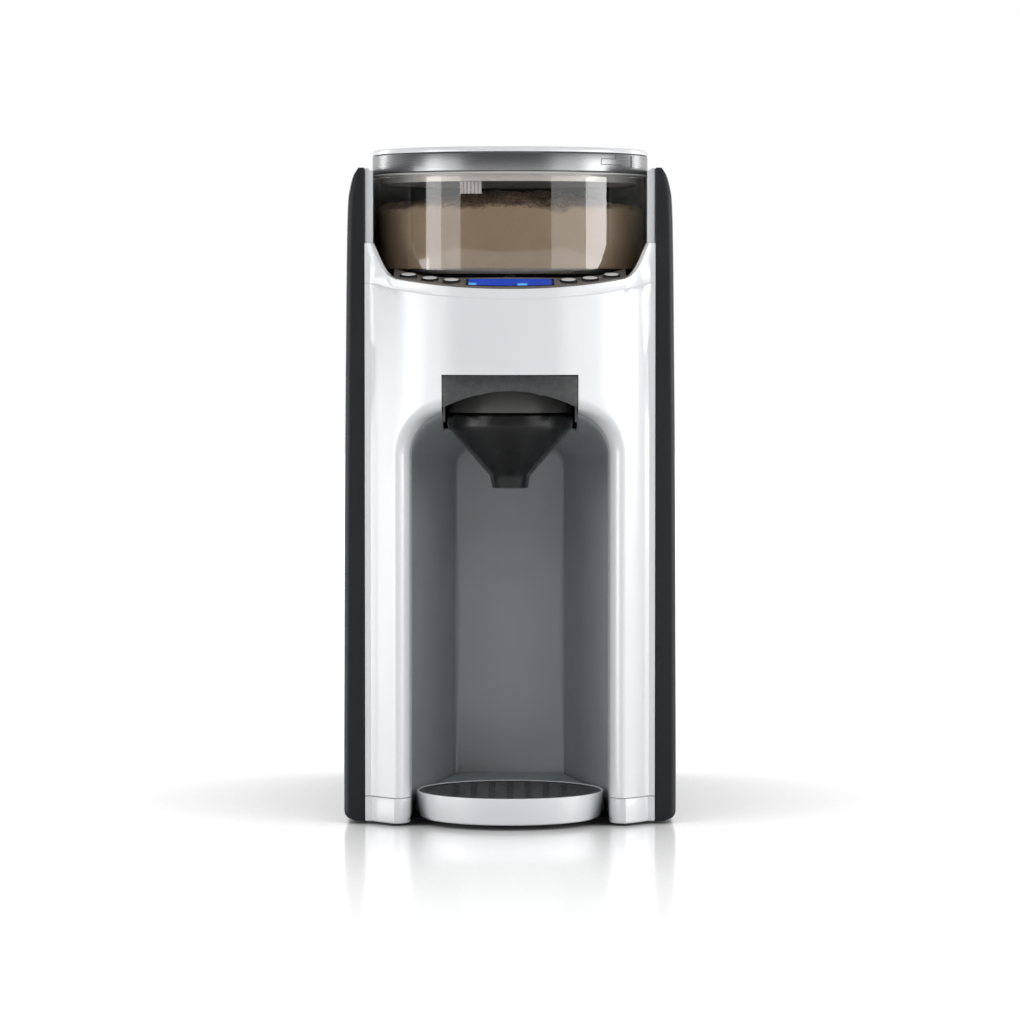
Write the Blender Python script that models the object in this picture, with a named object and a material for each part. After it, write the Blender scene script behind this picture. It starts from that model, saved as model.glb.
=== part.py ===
"""A baby formula maker with a white front, dark sides, a clear powder hopper, a bottle bay and a water tank.

The model stands on the XY plane with +Z up. Its front faces -Y and its width runs along X.
All lengths are in metres.
"""

import math

import bmesh
import bpy
from mathutils import Euler, Vector

MM = 0.001

# Walls, gaps and cutters
WALL = 2.2 * MM
LINER_WALL = 1.8 * MM
GAP = 0.3 * MM
OVERRUN = 6.0 * MM

# Body plan
FRONT_Y = -145.0 * MM
REAR_Y = 145.0 * MM
SHELL_HALF_WIDTH = 71.5 * MM
ARC_EXCESS = 14.5 * MM
FRONT_ARC_RADIUS = SHELL_HALF_WIDTH + ARC_EXCESS
STRIP_WIDTH = 3.5 * MM
STRIP_INNER_X = SHELL_HALF_WIDTH - STRIP_WIDTH
STRIP_Y = FRONT_Y + FRONT_ARC_RADIUS - math.sqrt(FRONT_ARC_RADIUS ** 2 - STRIP_INNER_X ** 2)
BODY_BACK_Y = 80.7 * MM
BODY_TOP_Z = 323.5 * MM

# Levels under the body's top
RIM_DROP = 3.8 * MM
HOPPER_RIM_Z = BODY_TOP_Z - RIM_DROP
HOPPER_HEIGHT = 50.7 * MM
HOPPER_BOTTOM_Z = HOPPER_RIM_Z - HOPPER_HEIGHT
GEAR_ROOM = 43.0 * MM
GEAR_PLATE_Z = HOPPER_BOTTOM_Z - GEAR_ROOM
COVER_ROOM = 4.2 * MM
COVER_TOP_Z = GEAR_PLATE_Z - COVER_ROOM
COVER_SHOW = 17.8 * MM
ARCH_TOP_Z = COVER_TOP_Z - COVER_SHOW

# Base
SEAM_Z = 13.7 * MM
PAN_BOTTOM_Z = 1.2 * MM
TANK_OVERHANG = 3.5 * MM
TANK_HALF_WIDTH = SHELL_HALF_WIDTH + TANK_OVERHANG
TANK_CORNER_RADIUS = 18.0 * MM

# Hopper's place and the outlet that the funnel and the tray stand under
HOPPER_SIDE_GAP = 2.5 * MM
HOPPER_RADIUS = SHELL_HALF_WIDTH - HOPPER_SIDE_GAP
HOPPER_SETBACK = 15.0 * MM
HOPPER_Y = FRONT_Y + HOPPER_SETBACK + HOPPER_RADIUS
OUTLET_SHARE = 0.54348
OUTLET_OFFSET = HOPPER_RADIUS * OUTLET_SHARE
OUTLET_Y = HOPPER_Y - OUTLET_OFFSET

# Bottle bay's mouth and the pillars beside it
ARCH_SHARE = 0.68532
ARCH_HALF_WIDTH = SHELL_HALF_WIDTH * ARCH_SHARE
PILLAR_MIDDLE_X = (SHELL_HALF_WIDTH + ARCH_HALF_WIDTH + LINER_WALL + GAP) / 2

# Rubber feet
FOOT_RADIUS = 8.0 * MM
FOOT_STEM_RADIUS = 3.0 * MM
FOOT_BARB_RADIUS = 4.2 * MM
FOOT_BARB_HEIGHT = 1.6 * MM
FRONT_FOOT_Y = -90.0 * MM
FRONT_FOOT_X = PILLAR_MIDDLE_X
REAR_FOOT_Y = 120.0 * MM
REAR_FOOT_INSET = 19.0 * MM
REAR_FOOT_X = TANK_HALF_WIDTH - REAR_FOOT_INSET

# Front shell
ARCH_CORNER = 22.0 * MM
ARCH_FILLET = 8.0 * MM
LIP_DEPTH = 4.0 * MM
TOP_EDGE_DROP = 5.3 * MM
TOP_EDGE_Z = HOPPER_BOTTOM_Z - TOP_EDGE_DROP
SWEEP_WIDTH = 10.0 * MM
SWEEP_START_X = SHELL_HALF_WIDTH - SWEEP_WIDTH
SWEEP_DROP = 38.5 * MM
SWEEP_TOP_Z = BODY_TOP_Z - SWEEP_DROP
PILLAR_SHARES = (0.0, 0.25, 0.5, 0.75, 1.0)
CORNER_STEPS = 5
TOP_STEPS = 5
OUTER_CORNER_X_SHARES = (1.0, 1.0, 1.0, 0.86, 0.7)
OUTER_CORNER_Z_SHARES = (0.3, 0.65, 1.0, 1.0, 1.0)
SKIN_ROWS = 5
FILLET_STEPS = 3

# Bottle bay
BAY_FOOT_Z = 2.0 * MM
BAY_MID_OFFSET = 18.5 * MM
BAY_MID_Y = OUTLET_Y + BAY_MID_OFFSET
BAY_DRAFT = 0.8 * MM
BAY_MID_HALF_WIDTH = ARCH_HALF_WIDTH - BAY_DRAFT
BAY_MID_CORNER = 20.0 * MM
BAY_BACK_Y = 18.0 * MM
BAY_BACK_SHARE = 0.57143
BAY_BACK_HALF_WIDTH = ARCH_HALF_WIDTH * BAY_BACK_SHARE
BAY_TOP_FALL = 22.0 * MM
BAY_BACK_TOP_Z = ARCH_TOP_Z - BAY_TOP_FALL
BAY_BACK_CORNER = 8.0 * MM

# Side panels and side plates
PANEL_INNER_X = SHELL_HALF_WIDTH + GAP
PANEL_BULGE = 10.2 * MM
PANEL_PROUD = 0.35 * MM
PANEL_FRONT_Y = STRIP_Y - PANEL_PROUD
PANEL_BOTTOM_Z = 1.5 * MM
PANEL_CORNER = 3.0 * MM
PANEL_OUTLINE_SHARES = (
    (0.0, 0.51), (0.0047, 0.85), (0.0155, 1.0), (0.12, 1.0), (0.486, 0.951), (0.799, 0.863),
    (0.89, 0.824), (0.95, 0.765), (0.969, 0.676), (0.988, 0.51), (1.0, 0.275),
)
POCKET_OUTLINE_SHARES = (
    (0.02, 1.0), (0.12, 1.0), (0.486, 0.951), (0.799, 0.863), (0.89, 0.824), (0.93, 0.79),
)
PLATE_THICKNESS = 2.0 * MM
PLATE_INNER_X = SHELL_HALF_WIDTH - PLATE_THICKNESS

# Powder hopper
HOPPER_CORNER = 15.0 * MM
HOPPER_CORNER_STEPS = 4
HOPPER_SEGMENTS = 36
OUTLET_RADIUS = 6.5 * MM

# Lid
SEAL_HEIGHT = 1.1 * MM
SEAL_WIDTH = 2.6 * MM
RING_HEIGHT = 9.1 * MM
RING_WIDTH = 4.5 * MM
LID_HEIGHT = 13.8 * MM
CAP_TOP_Z = HOPPER_RIM_Z + LID_HEIGHT
CAP_EDGE = 1.5 * MM
SKIRT_WALL = 2.0 * MM
SKIRT_DROP = 3.2 * MM
SKIRT_BOTTOM_Z = HOPPER_RIM_Z - SKIRT_DROP
TAB_LEFT_X = -24.5 * MM
TAB_RIGHT_X = -13.8 * MM
TAB_DROP = 9.2 * MM
TAB_BOTTOM_Z = HOPPER_RIM_Z - TAB_DROP
TAB_THICKNESS = 3.0 * MM

# Powder and the wheels under it
POWDER_DEPTH = 35.0 * MM
POWDER_EDGE_Z = HOPPER_BOTTOM_Z + POWDER_DEPTH
POWDER_CROWN = 11.0 * MM
POWDER_TIP_RADIUS = 6.0 * MM
POWDER_SKIRT_INSET = 8.5 * MM
POWDER_SKIRT_RADIUS = HOPPER_RADIUS - POWDER_SKIRT_INSET
POWDER_SKIRT_RISE = 5.0 * MM
POWDER_SKIRT_Z = HOPPER_BOTTOM_Z + POWDER_SKIRT_RISE
POWDER_ROOF_RISE = 12.6 * MM
POWDER_ROOF_Z = HOPPER_BOTTOM_Z + POWDER_ROOF_RISE
MOUND_SHARES = ((0.88, 0.27), (0.62, 0.62), (0.33, 0.88))
DOSING_THICKNESS = 4.0 * MM
DOSING_POCKET_RADIUS = 7.0 * MM
DOSING_RIM = 5.5 * MM
DOSING_RADIUS = OUTLET_OFFSET + DOSING_POCKET_RADIUS + DOSING_RIM
DOSING_POCKETS = 4
STIRRER_INSET = 10.5 * MM
STIRRER_RADIUS = HOPPER_RADIUS - STIRRER_INSET
STIRRER_HUB_RADIUS = 7.0 * MM
STIRRER_ARM_HALF_WIDTH = 2.4 * MM
STIRRER_ARM_HEIGHT = 4.0 * MM
STIRRER_ARMS = 6

# Drive train
DOG_HALF = 2.8 * MM
DOG_RISE = 10.0 * MM
DOG_CLEARANCE = 1.2 * MM
SHAFT_RADIUS = 4.0 * MM
MODULE_SHARE = 0.026667
GEAR_MODULE = OUTLET_OFFSET * MODULE_SHARE
DRIVE_TEETH = 40
PINION_TEETH = 12
TOOTH_RISE_SHARE = 0.8
TOOTH_DROP_SHARE = 1.4
TOOTH_TIP_SHARE = 0.25
TOOTH_ROOT_SHARE = 0.55
GEAR_PLATE_THICKNESS = 3.0 * MM
GEAR_CLEARANCE = 2.0 * MM
GEAR_BOTTOM_Z = GEAR_PLATE_Z + GEAR_PLATE_THICKNESS + GEAR_CLEARANCE
GEAR_HEIGHT = 7.0 * MM
BUSH_RADIUS = 6.7 * MM
BUSH_FLANGE = 1.6 * MM
BUSH_FLANGE_HEIGHT = 1.0 * MM
MOTOR_RADIUS = 15.0 * MM
MOTOR_HEIGHT = 29.0 * MM
MOTOR_EDGE = 1.5 * MM
MOTOR_SHAFT_RADIUS = 2.5 * MM
SCREW_RADIUS = 1.5 * MM
SCREW_HEAD_RADIUS = 2.5 * MM
SCREW_HEAD_HEIGHT = 1.4 * MM
SCREW_LENGTH = 8.0 * MM
COVER_SCREW_INSET = 8.5 * MM
COVER_SCREW_X = SHELL_HALF_WIDTH - COVER_SCREW_INSET
COVER_SCREW_DROP = 19.0 * MM
COVER_SCREW_Z = HOPPER_BOTTOM_Z - COVER_SCREW_DROP

# Deck under the hopper and the chute through it
DECK_THICKNESS = 4.7 * MM
CHUTE_WALL = 1.6 * MM
CHUTE_RADIUS = 8.0 * MM
CHUTE_GAP = 0.6 * MM
CHUTE_BOTTOM_Z = COVER_TOP_Z + CHUTE_GAP

# Top cover
CRADLE_GAP = 0.8 * MM
HORN_OFFSET = 31.0 * MM
COVER_HORN_Y = HOPPER_Y + HORN_OFFSET
TOP_PLATE = 3.0 * MM

# Control panel
PANEL_SLOPE_SHARE = 0.24
CONTROL_SHARE = 0.7972
CONTROL_HALF_WIDTH = SHELL_HALF_WIDTH * CONTROL_SHARE
CONTROL_THICKNESS = 2.2 * MM
CONTROL_STEPS = 12
BUTTON_FIRST_SHARE = 0.5
BUTTON_FIRST_X = CONTROL_HALF_WIDTH * BUTTON_FIRST_SHARE
BUTTON_PITCH_SHARE = 0.186
BUTTON_PITCH = CONTROL_HALF_WIDTH * BUTTON_PITCH_SHARE
BUTTONS_PER_SIDE = 3
BUTTON_LENGTH_SHARE = 0.4056
BUTTON_HALF_LENGTH = BUTTON_PITCH * BUTTON_LENGTH_SHARE
DISPLAY_BUTTON_GAP = 2.9 * MM
DISPLAY_HALF_WIDTH = BUTTON_FIRST_X - BUTTON_HALF_LENGTH - DISPLAY_BUTTON_GAP
DISPLAY_MARGIN = 1.6 * MM
DISPLAY_THICKNESS = 1.6 * MM
BUTTON_HALF_WIDTH = 2.9 * MM
BUTTON_RISE = 0.7 * MM
BUTTON_EDGE = 0.5 * MM
BUTTON_FLANGE_SHARE = 0.085
BUTTON_FLANGE = BUTTON_PITCH * BUTTON_FLANGE_SHARE
BUTTON_FLANGE_HEIGHT = 0.9 * MM
BUTTON_TRAVEL = 0.8 * MM
BOARD_THICKNESS = 1.6 * MM
BOARD_MARGIN = 5.0 * MM
BOARD_HALF_WIDTH = CONTROL_HALF_WIDTH - BOARD_MARGIN
BOARD_DROP = 0.9 * MM

# Funnel drawer
FUNNEL_SHARE = 0.63265
FUNNEL_RADIUS = ARCH_HALF_WIDTH * FUNNEL_SHARE
FUNNEL_TOP_DROP = 7.8 * MM
FUNNEL_TOP_Z = COVER_TOP_Z - FUNNEL_TOP_DROP
FUNNEL_SHOULDER_DROP = 28.2 * MM
FUNNEL_SHOULDER_Z = COVER_TOP_Z - FUNNEL_SHOULDER_DROP
FUNNEL_CONE_DROP = 51.1 * MM
FUNNEL_CONE_Z = COVER_TOP_Z - FUNNEL_CONE_DROP
FUNNEL_CONE_RADIUS = 10.0 * MM
SPOUT_RADIUS = 8.9 * MM
SPOUT_DROP = 56.2 * MM
SPOUT_BOTTOM_Z = COVER_TOP_Z - SPOUT_DROP
FUNNEL_WALL = 1.6 * MM
FUNNEL_SIDE_GAP = 2.0 * MM
COVER_HALF_WIDTH = FUNNEL_RADIUS + FUNNEL_SIDE_GAP
COVER_WALL = 1.6 * MM
COVER_EDGE_DROP = 15.9 * MM
COVER_EDGE_Z = COVER_TOP_Z - COVER_EDGE_DROP
COVER_ARCH_RISE = 8.2 * MM
COVER_FRONT_SETBACK = 0.2 * MM
COVER_CHUTE_HOLE = 9.5 * MM
EAR_DROP = 22.8 * MM
EAR_BOTTOM_Z = COVER_TOP_Z - EAR_DROP
EAR_LENGTH = 10.0 * MM
NOZZLE_RADIUS = 5.0 * MM
NOZZLE_GAP = 4.0 * MM
NOZZLE_X = CHUTE_RADIUS + NOZZLE_RADIUS + NOZZLE_GAP
NOZZLE_BORE = 1.6 * MM
NOZZLE_RISE = 8.0 * MM
NOZZLE_TOP_Z = GEAR_PLATE_Z + NOZZLE_RISE
NOZZLE_TIP_RADIUS = 3.0 * MM

# Bottle tray
TRAY_SIDE_GAP = 2.6 * MM
TRAY_RADIUS = ARCH_HALF_WIDTH - TRAY_SIDE_GAP
TRAY_BOTTOM_Z = 2.5 * MM
TRAY_TOP_Z = 15.8 * MM
TRAY_EDGE = 1.0 * MM
TRAY_FOOT_INSET = 2.4 * MM
TRAY_RIM = 2.6 * MM
TRAY_LEDGE = 2.0 * MM
TRAY_LEDGE_DROP = 3.2 * MM
GRILLE_THICKNESS = 2.2 * MM
SLOT_WIDTH = 3.6 * MM
SLOT_PITCH = 9.0 * MM
SLOTS_PER_SIDE = 3
SLOT_MARGIN = 5.0 * MM
CARRIER_TOP_Z = 12.5 * MM
CARRIER_GAP = 0.5 * MM
CARRIER_ARC_ANGLE = 12.0
CARRIER_ARC_STEPS = 14

# Water tank
TANK_SEAT_Z = 38.0 * MM
TANK_FRONT_Y = 84.0 * MM
TANK_FRONT_CORNER = 5.0 * MM
TANK_TOP_DROP = 38.5 * MM
TANK_TOP_Z = BODY_TOP_Z - TANK_TOP_DROP
CORNER_ARC_STEPS = 5
VALVE_Y = 113.0 * MM
SPIGOT_RADIUS = 6.0 * MM
SPIGOT_BORE = 4.0 * MM
SPIGOT_BOTTOM_Z = 30.0 * MM
VALVE_HOLE = 2.6 * MM
VALVE_STEM = 1.8 * MM
VALVE_HEAD = 5.5 * MM
VALVE_HEAD_HEIGHT = 2.0 * MM
VALVE_FOOT = 3.4 * MM
VALVE_FOOT_Z = 31.0 * MM
VALVE_FOOT_HEIGHT = 1.2 * MM
VALVE_SPRING_WIRE = 0.5 * MM
VALVE_SPRING_RADIUS = 3.0 * MM
VALVE_SPRING_TURNS = 4
VALVE_SPRING_POINTS = 8
SOCKET_RADIUS = 9.2 * MM
SOCKET_FLANGE = 12.0 * MM
SOCKET_FLANGE_HEIGHT = 2.4 * MM
SOCKET_BORE = 7.4 * MM
SOCKET_DEPTH = 12.0 * MM
SOCKET_NIPPLE = 3.4 * MM
SOCKET_NIPPLE_BORE = 2.0 * MM
SOCKET_NIPPLE_Z = 16.0 * MM
GASKET_HOLE = 9.0 * MM
TANK_LID_THICKNESS = 2.7 * MM
TANK_LID_MARGIN = 3.0 * MM
HINGE_Y = 89.5 * MM
HINGE_RISE = 1.35 * MM
HINGE_PIN_RADIUS = 1.0 * MM
HINGE_PIN_LENGTH = 2.6 * MM
HINGE_HOLE_RADIUS = 1.4 * MM
EAR_THICKNESS = 2.2 * MM
HINGE_EAR_HALF_LENGTH = 4.0 * MM
HINGE_EAR_HEIGHT = 5.0 * MM

# Water and power works
PUMP_X = -38.0 * MM
WORKS_Y = 50.0 * MM
PUMP_RADIUS = 16.0 * MM
PUMP_HEIGHT = 56.0 * MM
PUMP_HEAD_RADIUS = 12.0 * MM
PUMP_HEAD_HEIGHT = 12.0 * MM
HEATER_X = 38.0 * MM
HEATER_RADIUS = 17.0 * MM
HEATER_HEIGHT = 136.0 * MM
HEATER_EDGE = 3.0 * MM
HOSE_RADIUS = 2.8 * MM
HOSE_STEPS = 3
HOSE_HOLE_RADIUS = 3.4 * MM
POWER_BOARD_HALF_LENGTH = 22.0 * MM
POWER_BOARD_BOTTOM_Z = 80.0 * MM
POWER_BOARD_ROOM = 46.0 * MM
POWER_BOARD_HEIGHT = GEAR_PLATE_Z - POWER_BOARD_BOTTOM_Z - POWER_BOARD_ROOM
INLET_X = -45.0 * MM
INLET_HALF_WIDTH = 11.0 * MM
INLET_BOTTOM_Z = 17.0 * MM
INLET_HEIGHT = 16.0 * MM
INLET_DEPTH = 14.0 * MM
INLET_WALL = 2.0 * MM
INLET_POCKET = 9.0 * MM
INLET_PIN_RADIUS = 1.2 * MM
INLET_PIN_PITCH = 8.6 * MM
INLET_PIN_LENGTH = 7.0 * MM

# Hose routes, from the first end to the last
INLET_HOSE_ROUTE = (
    (0.0 * MM, 113.0 * MM, 15.4 * MM), (0.0 * MM, 113.0 * MM, 12.8 * MM), (-2.5 * MM, 109.5 * MM, 9.0 * MM),
    (-10.0 * MM, 98.0 * MM, 7.6 * MM), (-22.0 * MM, 84.0 * MM, 7.6 * MM), (-34.0 * MM, 75.5 * MM, 9.4 * MM),
    (-38.0 * MM, 70.0 * MM, 11.4 * MM), (-38.0 * MM, 66.3 * MM, 11.6 * MM),
)

# Hose from the pump to the heater: offsets from the pump's top, then from the port in the heater's side
PUMP_TOP_HOSE_OFFSETS = (
    (0.0 * MM, 0.0 * MM, 0.3 * MM), (0.0 * MM, 0.0 * MM, 5.3 * MM), (5.0 * MM, 0.0 * MM, 13.3 * MM),
    (18.0 * MM, 0.0 * MM, 13.3 * MM), (30.0 * MM, 0.0 * MM, 0.3 * MM),
)
HEATER_PORT_Z = 30.0 * MM
HEATER_PORT_HOSE_OFFSETS = (
    (-20.7 * MM, 0.0 * MM, 12.0 * MM), (-11.7 * MM, 0.0 * MM, 1.5 * MM), (-4.7 * MM, 0.0 * MM, 0.0 * MM),
    (-0.3 * MM, 0.0 * MM, 0.0 * MM),
)

# Hose from the heater up through the gear plate, then as offsets from the nozzle's top
HEATER_HOSE_RISE = 6.0 * MM
HEATER_HOSE_SHARES = (0.0, 0.22, 0.54, 0.83, 1.0)
NOZZLE_HOSE_OFFSETS = (
    (20.5 * MM, 141.5 * MM, 11.0 * MM), (19.0 * MM, 123.5 * MM, 15.0 * MM),
    (16.0 * MM, 88.5 * MM, 15.0 * MM), (11.0 * MM, 53.5 * MM, 15.0 * MM),
    (5.0 * MM, 20.5 * MM, 15.0 * MM), (1.0 * MM, 5.5 * MM, 13.0 * MM),
    (0.0 * MM, 0.3 * MM, 7.0 * MM), (0.0 * MM, 0.0 * MM, 0.3 * MM),
)

# Circle divisions
FINE_SEGMENTS = 28
ROUND_SEGMENTS = 16
SMALL_SEGMENTS = 12
GRILLE_SEGMENTS = 40
PANEL_CORNER_STEPS = 2
STRIP_STEPS = 3
PLATE_STEPS = 14
COVER_STEPS = 12
SHARP_ANGLE = 35.0

# Sizes that follow from the ones above
ARC_CENTRE_Y = FRONT_Y + FRONT_ARC_RADIUS
CONTROL_OUTER_RADIUS = FRONT_ARC_RADIUS - WALL - 2 * GAP
CONTROL_INNER_RADIUS = HOPPER_RADIUS + CRADLE_GAP
DECK_HALF_WIDTH = PLATE_INNER_X - GAP
DECK_TOP_Z = HOPPER_BOTTOM_Z - GAP
DECK_BACK_Y = BODY_BACK_Y - WALL - GAP
CENTRE_DISTANCE = (DRIVE_TEETH + PINION_TEETH) * GEAR_MODULE / 2
MOTOR_Y = HOPPER_Y + CENTRE_DISTANCE
SEAL_BOTTOM_Z = HOPPER_RIM_Z + GAP
RING_BOTTOM_Z = SEAL_BOTTOM_Z + SEAL_HEIGHT + GAP
RING_TOP_Z = RING_BOTTOM_Z + RING_HEIGHT
CAP_BOTTOM_Z = RING_TOP_Z + GAP
RING_BORE = HOPPER_RADIUS - RING_WIDTH
FLOOR_Z = HOPPER_BOTTOM_Z + WALL + GAP
STIRRER_ARM_Z = FLOOR_Z + DOSING_THICKNESS + GAP
FUNNEL_COVER_BACK_Y = OUTLET_Y + FUNNEL_RADIUS + GAP + COVER_WALL
TANK_FLOOR_Z = TANK_SEAT_Z + GAP + WALL
HINGE_Z = TANK_TOP_Z + GAP + HINGE_RISE
SPRING_TOP_Z = TANK_SEAT_Z
SPRING_BOTTOM_Z = VALVE_FOOT_Z + VALVE_FOOT_HEIGHT + GAP

FINISHES = {
    "white_gloss": ((0.86, 0.87, 0.89), 0.18, 0.0),
    "charcoal_satin": ((0.045, 0.047, 0.052), 0.45, 0.0),
    "bay_grey": ((0.16, 0.18, 0.19), 0.4, 0.0),
    "dark_housing": ((0.05, 0.052, 0.055), 0.35, 0.0),
    "smoke_clear": ((0.25, 0.24, 0.23), 0.08, 0.0),
    "powder": ((0.66, 0.6, 0.52), 0.95, 0.0),
    "silver_trim": ((0.55, 0.56, 0.57), 0.3, 0.8),
    "grille_dark": ((0.035, 0.037, 0.04), 0.5, 0.0),
    "display_blue": ((0.02, 0.07, 0.5), 0.12, 0.0),
    "rubber_grey": ((0.08, 0.08, 0.08), 0.8, 0.0),
    "steel": ((0.6, 0.6, 0.62), 0.3, 1.0),
    "gear_white": ((0.8, 0.8, 0.76), 0.5, 0.0),
    "board_green": ((0.03, 0.2, 0.08), 0.5, 0.0),
    "hose_clear": ((0.7, 0.7, 0.68), 0.3, 0.0),
}


def finish(name):
    """The Principled material of one named finish, made once."""
    existing = bpy.data.materials.get(name)
    if existing:
        return existing
    colour, roughness, metallic = FINISHES[name]
    made = bpy.data.materials.new(name)
    made.use_nodes = True
    shader = made.node_tree.nodes["Principled BSDF"]
    shader.inputs["Base Color"].default_value = (*colour, 1.0)
    shader.inputs["Roughness"].default_value = roughness
    shader.inputs["Metallic"].default_value = metallic
    return made


def add_object(name, mesh_data, finish_name, origin=(0.0, 0.0, 0.0), smooth=True):
    """An object of the given bmesh, which is drawn in world places, with its origin at the given point."""
    shift = Vector(origin)
    bmesh.ops.translate(mesh_data, verts=mesh_data.verts, vec=-shift)
    mesh = bpy.data.meshes.new(name)
    mesh_data.to_mesh(mesh)
    mesh_data.free()
    mesh.materials.append(finish(finish_name))
    if smooth:
        mesh.shade_smooth()
        mesh.set_sharp_from_angle(angle=math.radians(SHARP_ANGLE))
    made = bpy.data.objects.new(name, mesh)
    made.location = shift
    bpy.context.collection.objects.link(made)
    return made


def helper(name, mesh_data):
    """A hidden object that another one is cut by or joined with."""
    made = add_object(name, mesh_data, "steel", smooth=False)
    made.hide_render = True
    made.display_type = "WIRE"
    return made


def combine(target, other, operation):
    """Adds a Boolean modifier to the target."""
    modifier = target.modifiers.new(operation.lower(), "BOOLEAN")
    modifier.operation = operation
    modifier.object = other
    modifier.solver = "EXACT"


def cut(target, mesh_data):
    """Cuts the shape out of the target."""
    combine(target, helper(target.name + "_cutter", mesh_data), "DIFFERENCE")


def fuse(target, mesh_data):
    """Joins the shape to the target."""
    combine(target, helper(target.name + "_addition", mesh_data), "UNION")


def loft(rings, cyclic=False):
    """A closed body through rings of equal counts: capped at both ends, or closed on itself when cyclic."""
    made = bmesh.new()
    rows = [[made.verts.new(point) for point in ring] for ring in rings]
    count = len(rows[0])
    pairs = list(zip(rows, rows[1:]))
    if cyclic:
        pairs.append((rows[-1], rows[0]))
    else:
        made.faces.new(rows[0])
        made.faces.new(rows[-1])
    for lower, upper in pairs:
        for index in range(count):
            following = (index + 1) % count
            made.faces.new((lower[index], lower[following], upper[following], upper[index]))
    bmesh.ops.recalc_face_normals(made, faces=made.faces)
    return made


def merge(shapes):
    """One bmesh that holds all the given ones side by side."""
    whole = bmesh.new()
    for shape in shapes:
        mesh = bpy.data.meshes.new("shape")
        shape.to_mesh(mesh)
        shape.free()
        whole.from_mesh(mesh)
        bpy.data.meshes.remove(mesh)
    return whole


def circle(radius, height, centre=(0.0, 0.0), segments=ROUND_SEGMENTS):
    """Points around a level circle."""
    turn = 2 * math.pi / segments
    return [
        Vector((centre[0] + radius * math.cos(turn * k), centre[1] + radius * math.sin(turn * k), height))
        for k in range(segments)
    ]


def turned(profile, centre=(0.0, 0.0), segments=ROUND_SEGMENTS, cyclic=False):
    """A body turned about a vertical line: profile holds (radius, height) pairs."""
    return loft([circle(radius, height, centre, segments) for radius, height in profile], cyclic)


def level(outline, height):
    """The outline's (x, y) points at one height, or at a height worked out for each point."""
    if callable(height):
        return [Vector((x, y, height(x, y))) for x, y in outline]
    return [Vector((x, y, height)) for x, y in outline]


def prism(outline, low, high):
    """The outline pulled up from low to high."""
    return loft([level(outline, low), level(outline, high)])


def block(low, high):
    """A box between two corners."""
    outline = ((low[0], low[1]), (high[0], low[1]), (high[0], high[1]), (low[0], high[1]))
    return prism(outline, low[2], high[2])


def inset(outline, distance):
    """The outline moved inwards by the distance, with mitred corners."""
    area = sum(a[0] * b[1] - b[0] * a[1] for a, b in zip(outline, outline[1:] + outline[:1]))
    side = 1 if area > 0 else -1
    moved = []
    for before, here, after in zip(outline[-1:] + outline[:-1], outline, outline[1:] + outline[:1]):
        first = Vector((here[0] - before[0], here[1] - before[1])).normalized()
        second = Vector((after[0] - here[0], after[1] - here[1])).normalized()
        normal_a = Vector((-first.y, first.x)) * side
        normal_b = Vector((-second.y, second.x)) * side
        mitre = (normal_a + normal_b) / (1 + normal_a.dot(normal_b))
        moved.append((here[0] + mitre.x * distance, here[1] + mitre.y * distance))
    return moved


def open_box(outline, wall, closed_z, open_z, floor):
    """A thin-walled box of the outline: closed at closed_z, open at open_z."""
    inner = inset(outline, wall)
    rise = math.copysign(floor, open_z - closed_z)
    return loft([
        level(outline, closed_z), level(outline, open_z),
        level(inner, open_z), level(inner, closed_z + rise),
    ])


def mirrored(right_half):
    """The right half of an outline and its mirror image, as one closed outline."""
    return list(right_half) + [(-x, y) for x, y in reversed(right_half)]


def arc_points(centre, radius, start, end, steps):
    """Points along an arc, with angles in degrees."""
    angles = [math.radians(start + (end - start) * k / steps) for k in range(steps + 1)]
    return [(centre[0] + radius * math.cos(angle), centre[1] + radius * math.sin(angle)) for angle in angles]


def front_y(x):
    """Where the front surface lies at a given x."""
    reach = min(abs(x), STRIP_INNER_X)
    return ARC_CENTRE_Y - math.sqrt(FRONT_ARC_RADIUS ** 2 - reach ** 2)


def deck_slope_z(y):
    """Height of the sloping plane of the control panel."""
    return TOP_EDGE_Z + PANEL_SLOPE_SHARE * (y - FRONT_Y)


def top_edge_z(x):
    """Height of the front shell's upper edge, which sweeps up beside the hopper."""
    plane = deck_slope_z(front_y(x))
    share = max(0.0, abs(x) - SWEEP_START_X) / (SHELL_HALF_WIDTH - SWEEP_START_X)
    return plane + (SWEEP_TOP_Z - plane) * share


def arch_path(half_width, top, corner, foot):
    """(x, z) points from the left foot over the arch to the right foot."""
    spring = top - corner
    left = [(-half_width, foot + share * (spring - foot)) for share in PILLAR_SHARES]
    for step in range(1, CORNER_STEPS + 1):
        angle = math.pi / 2 * step / CORNER_STEPS
        left.append((-half_width + corner - corner * math.cos(angle), spring + corner * math.sin(angle)))
    flat = half_width - corner
    for step in range(1, TOP_STEPS):
        left.append((-flat + flat * step / TOP_STEPS, top))
    return left + [(0.0, top)] + [(-x, z) for x, z in reversed(left)]


def shell_outer_path(foot):
    """(x, z) points of the front shell's outer edge, matched one by one with the arch's points."""
    spring = ARCH_TOP_Z - ARCH_CORNER
    left = [(-SHELL_HALF_WIDTH, foot + share * (spring - foot)) for share in PILLAR_SHARES]
    for x_share, z_share in zip(OUTER_CORNER_X_SHARES, OUTER_CORNER_Z_SHARES):
        x = -SHELL_HALF_WIDTH * x_share
        left.append((x, spring + z_share * (top_edge_z(x) - spring)))
    last_x = left[-1][0]
    for step in range(1, TOP_STEPS):
        x = last_x * (1 - step / TOP_STEPS)
        left.append((x, top_edge_z(x)))
    return left + [(0.0, top_edge_z(0.0))] + [(-x, z) for x, z in reversed(left)]


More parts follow.
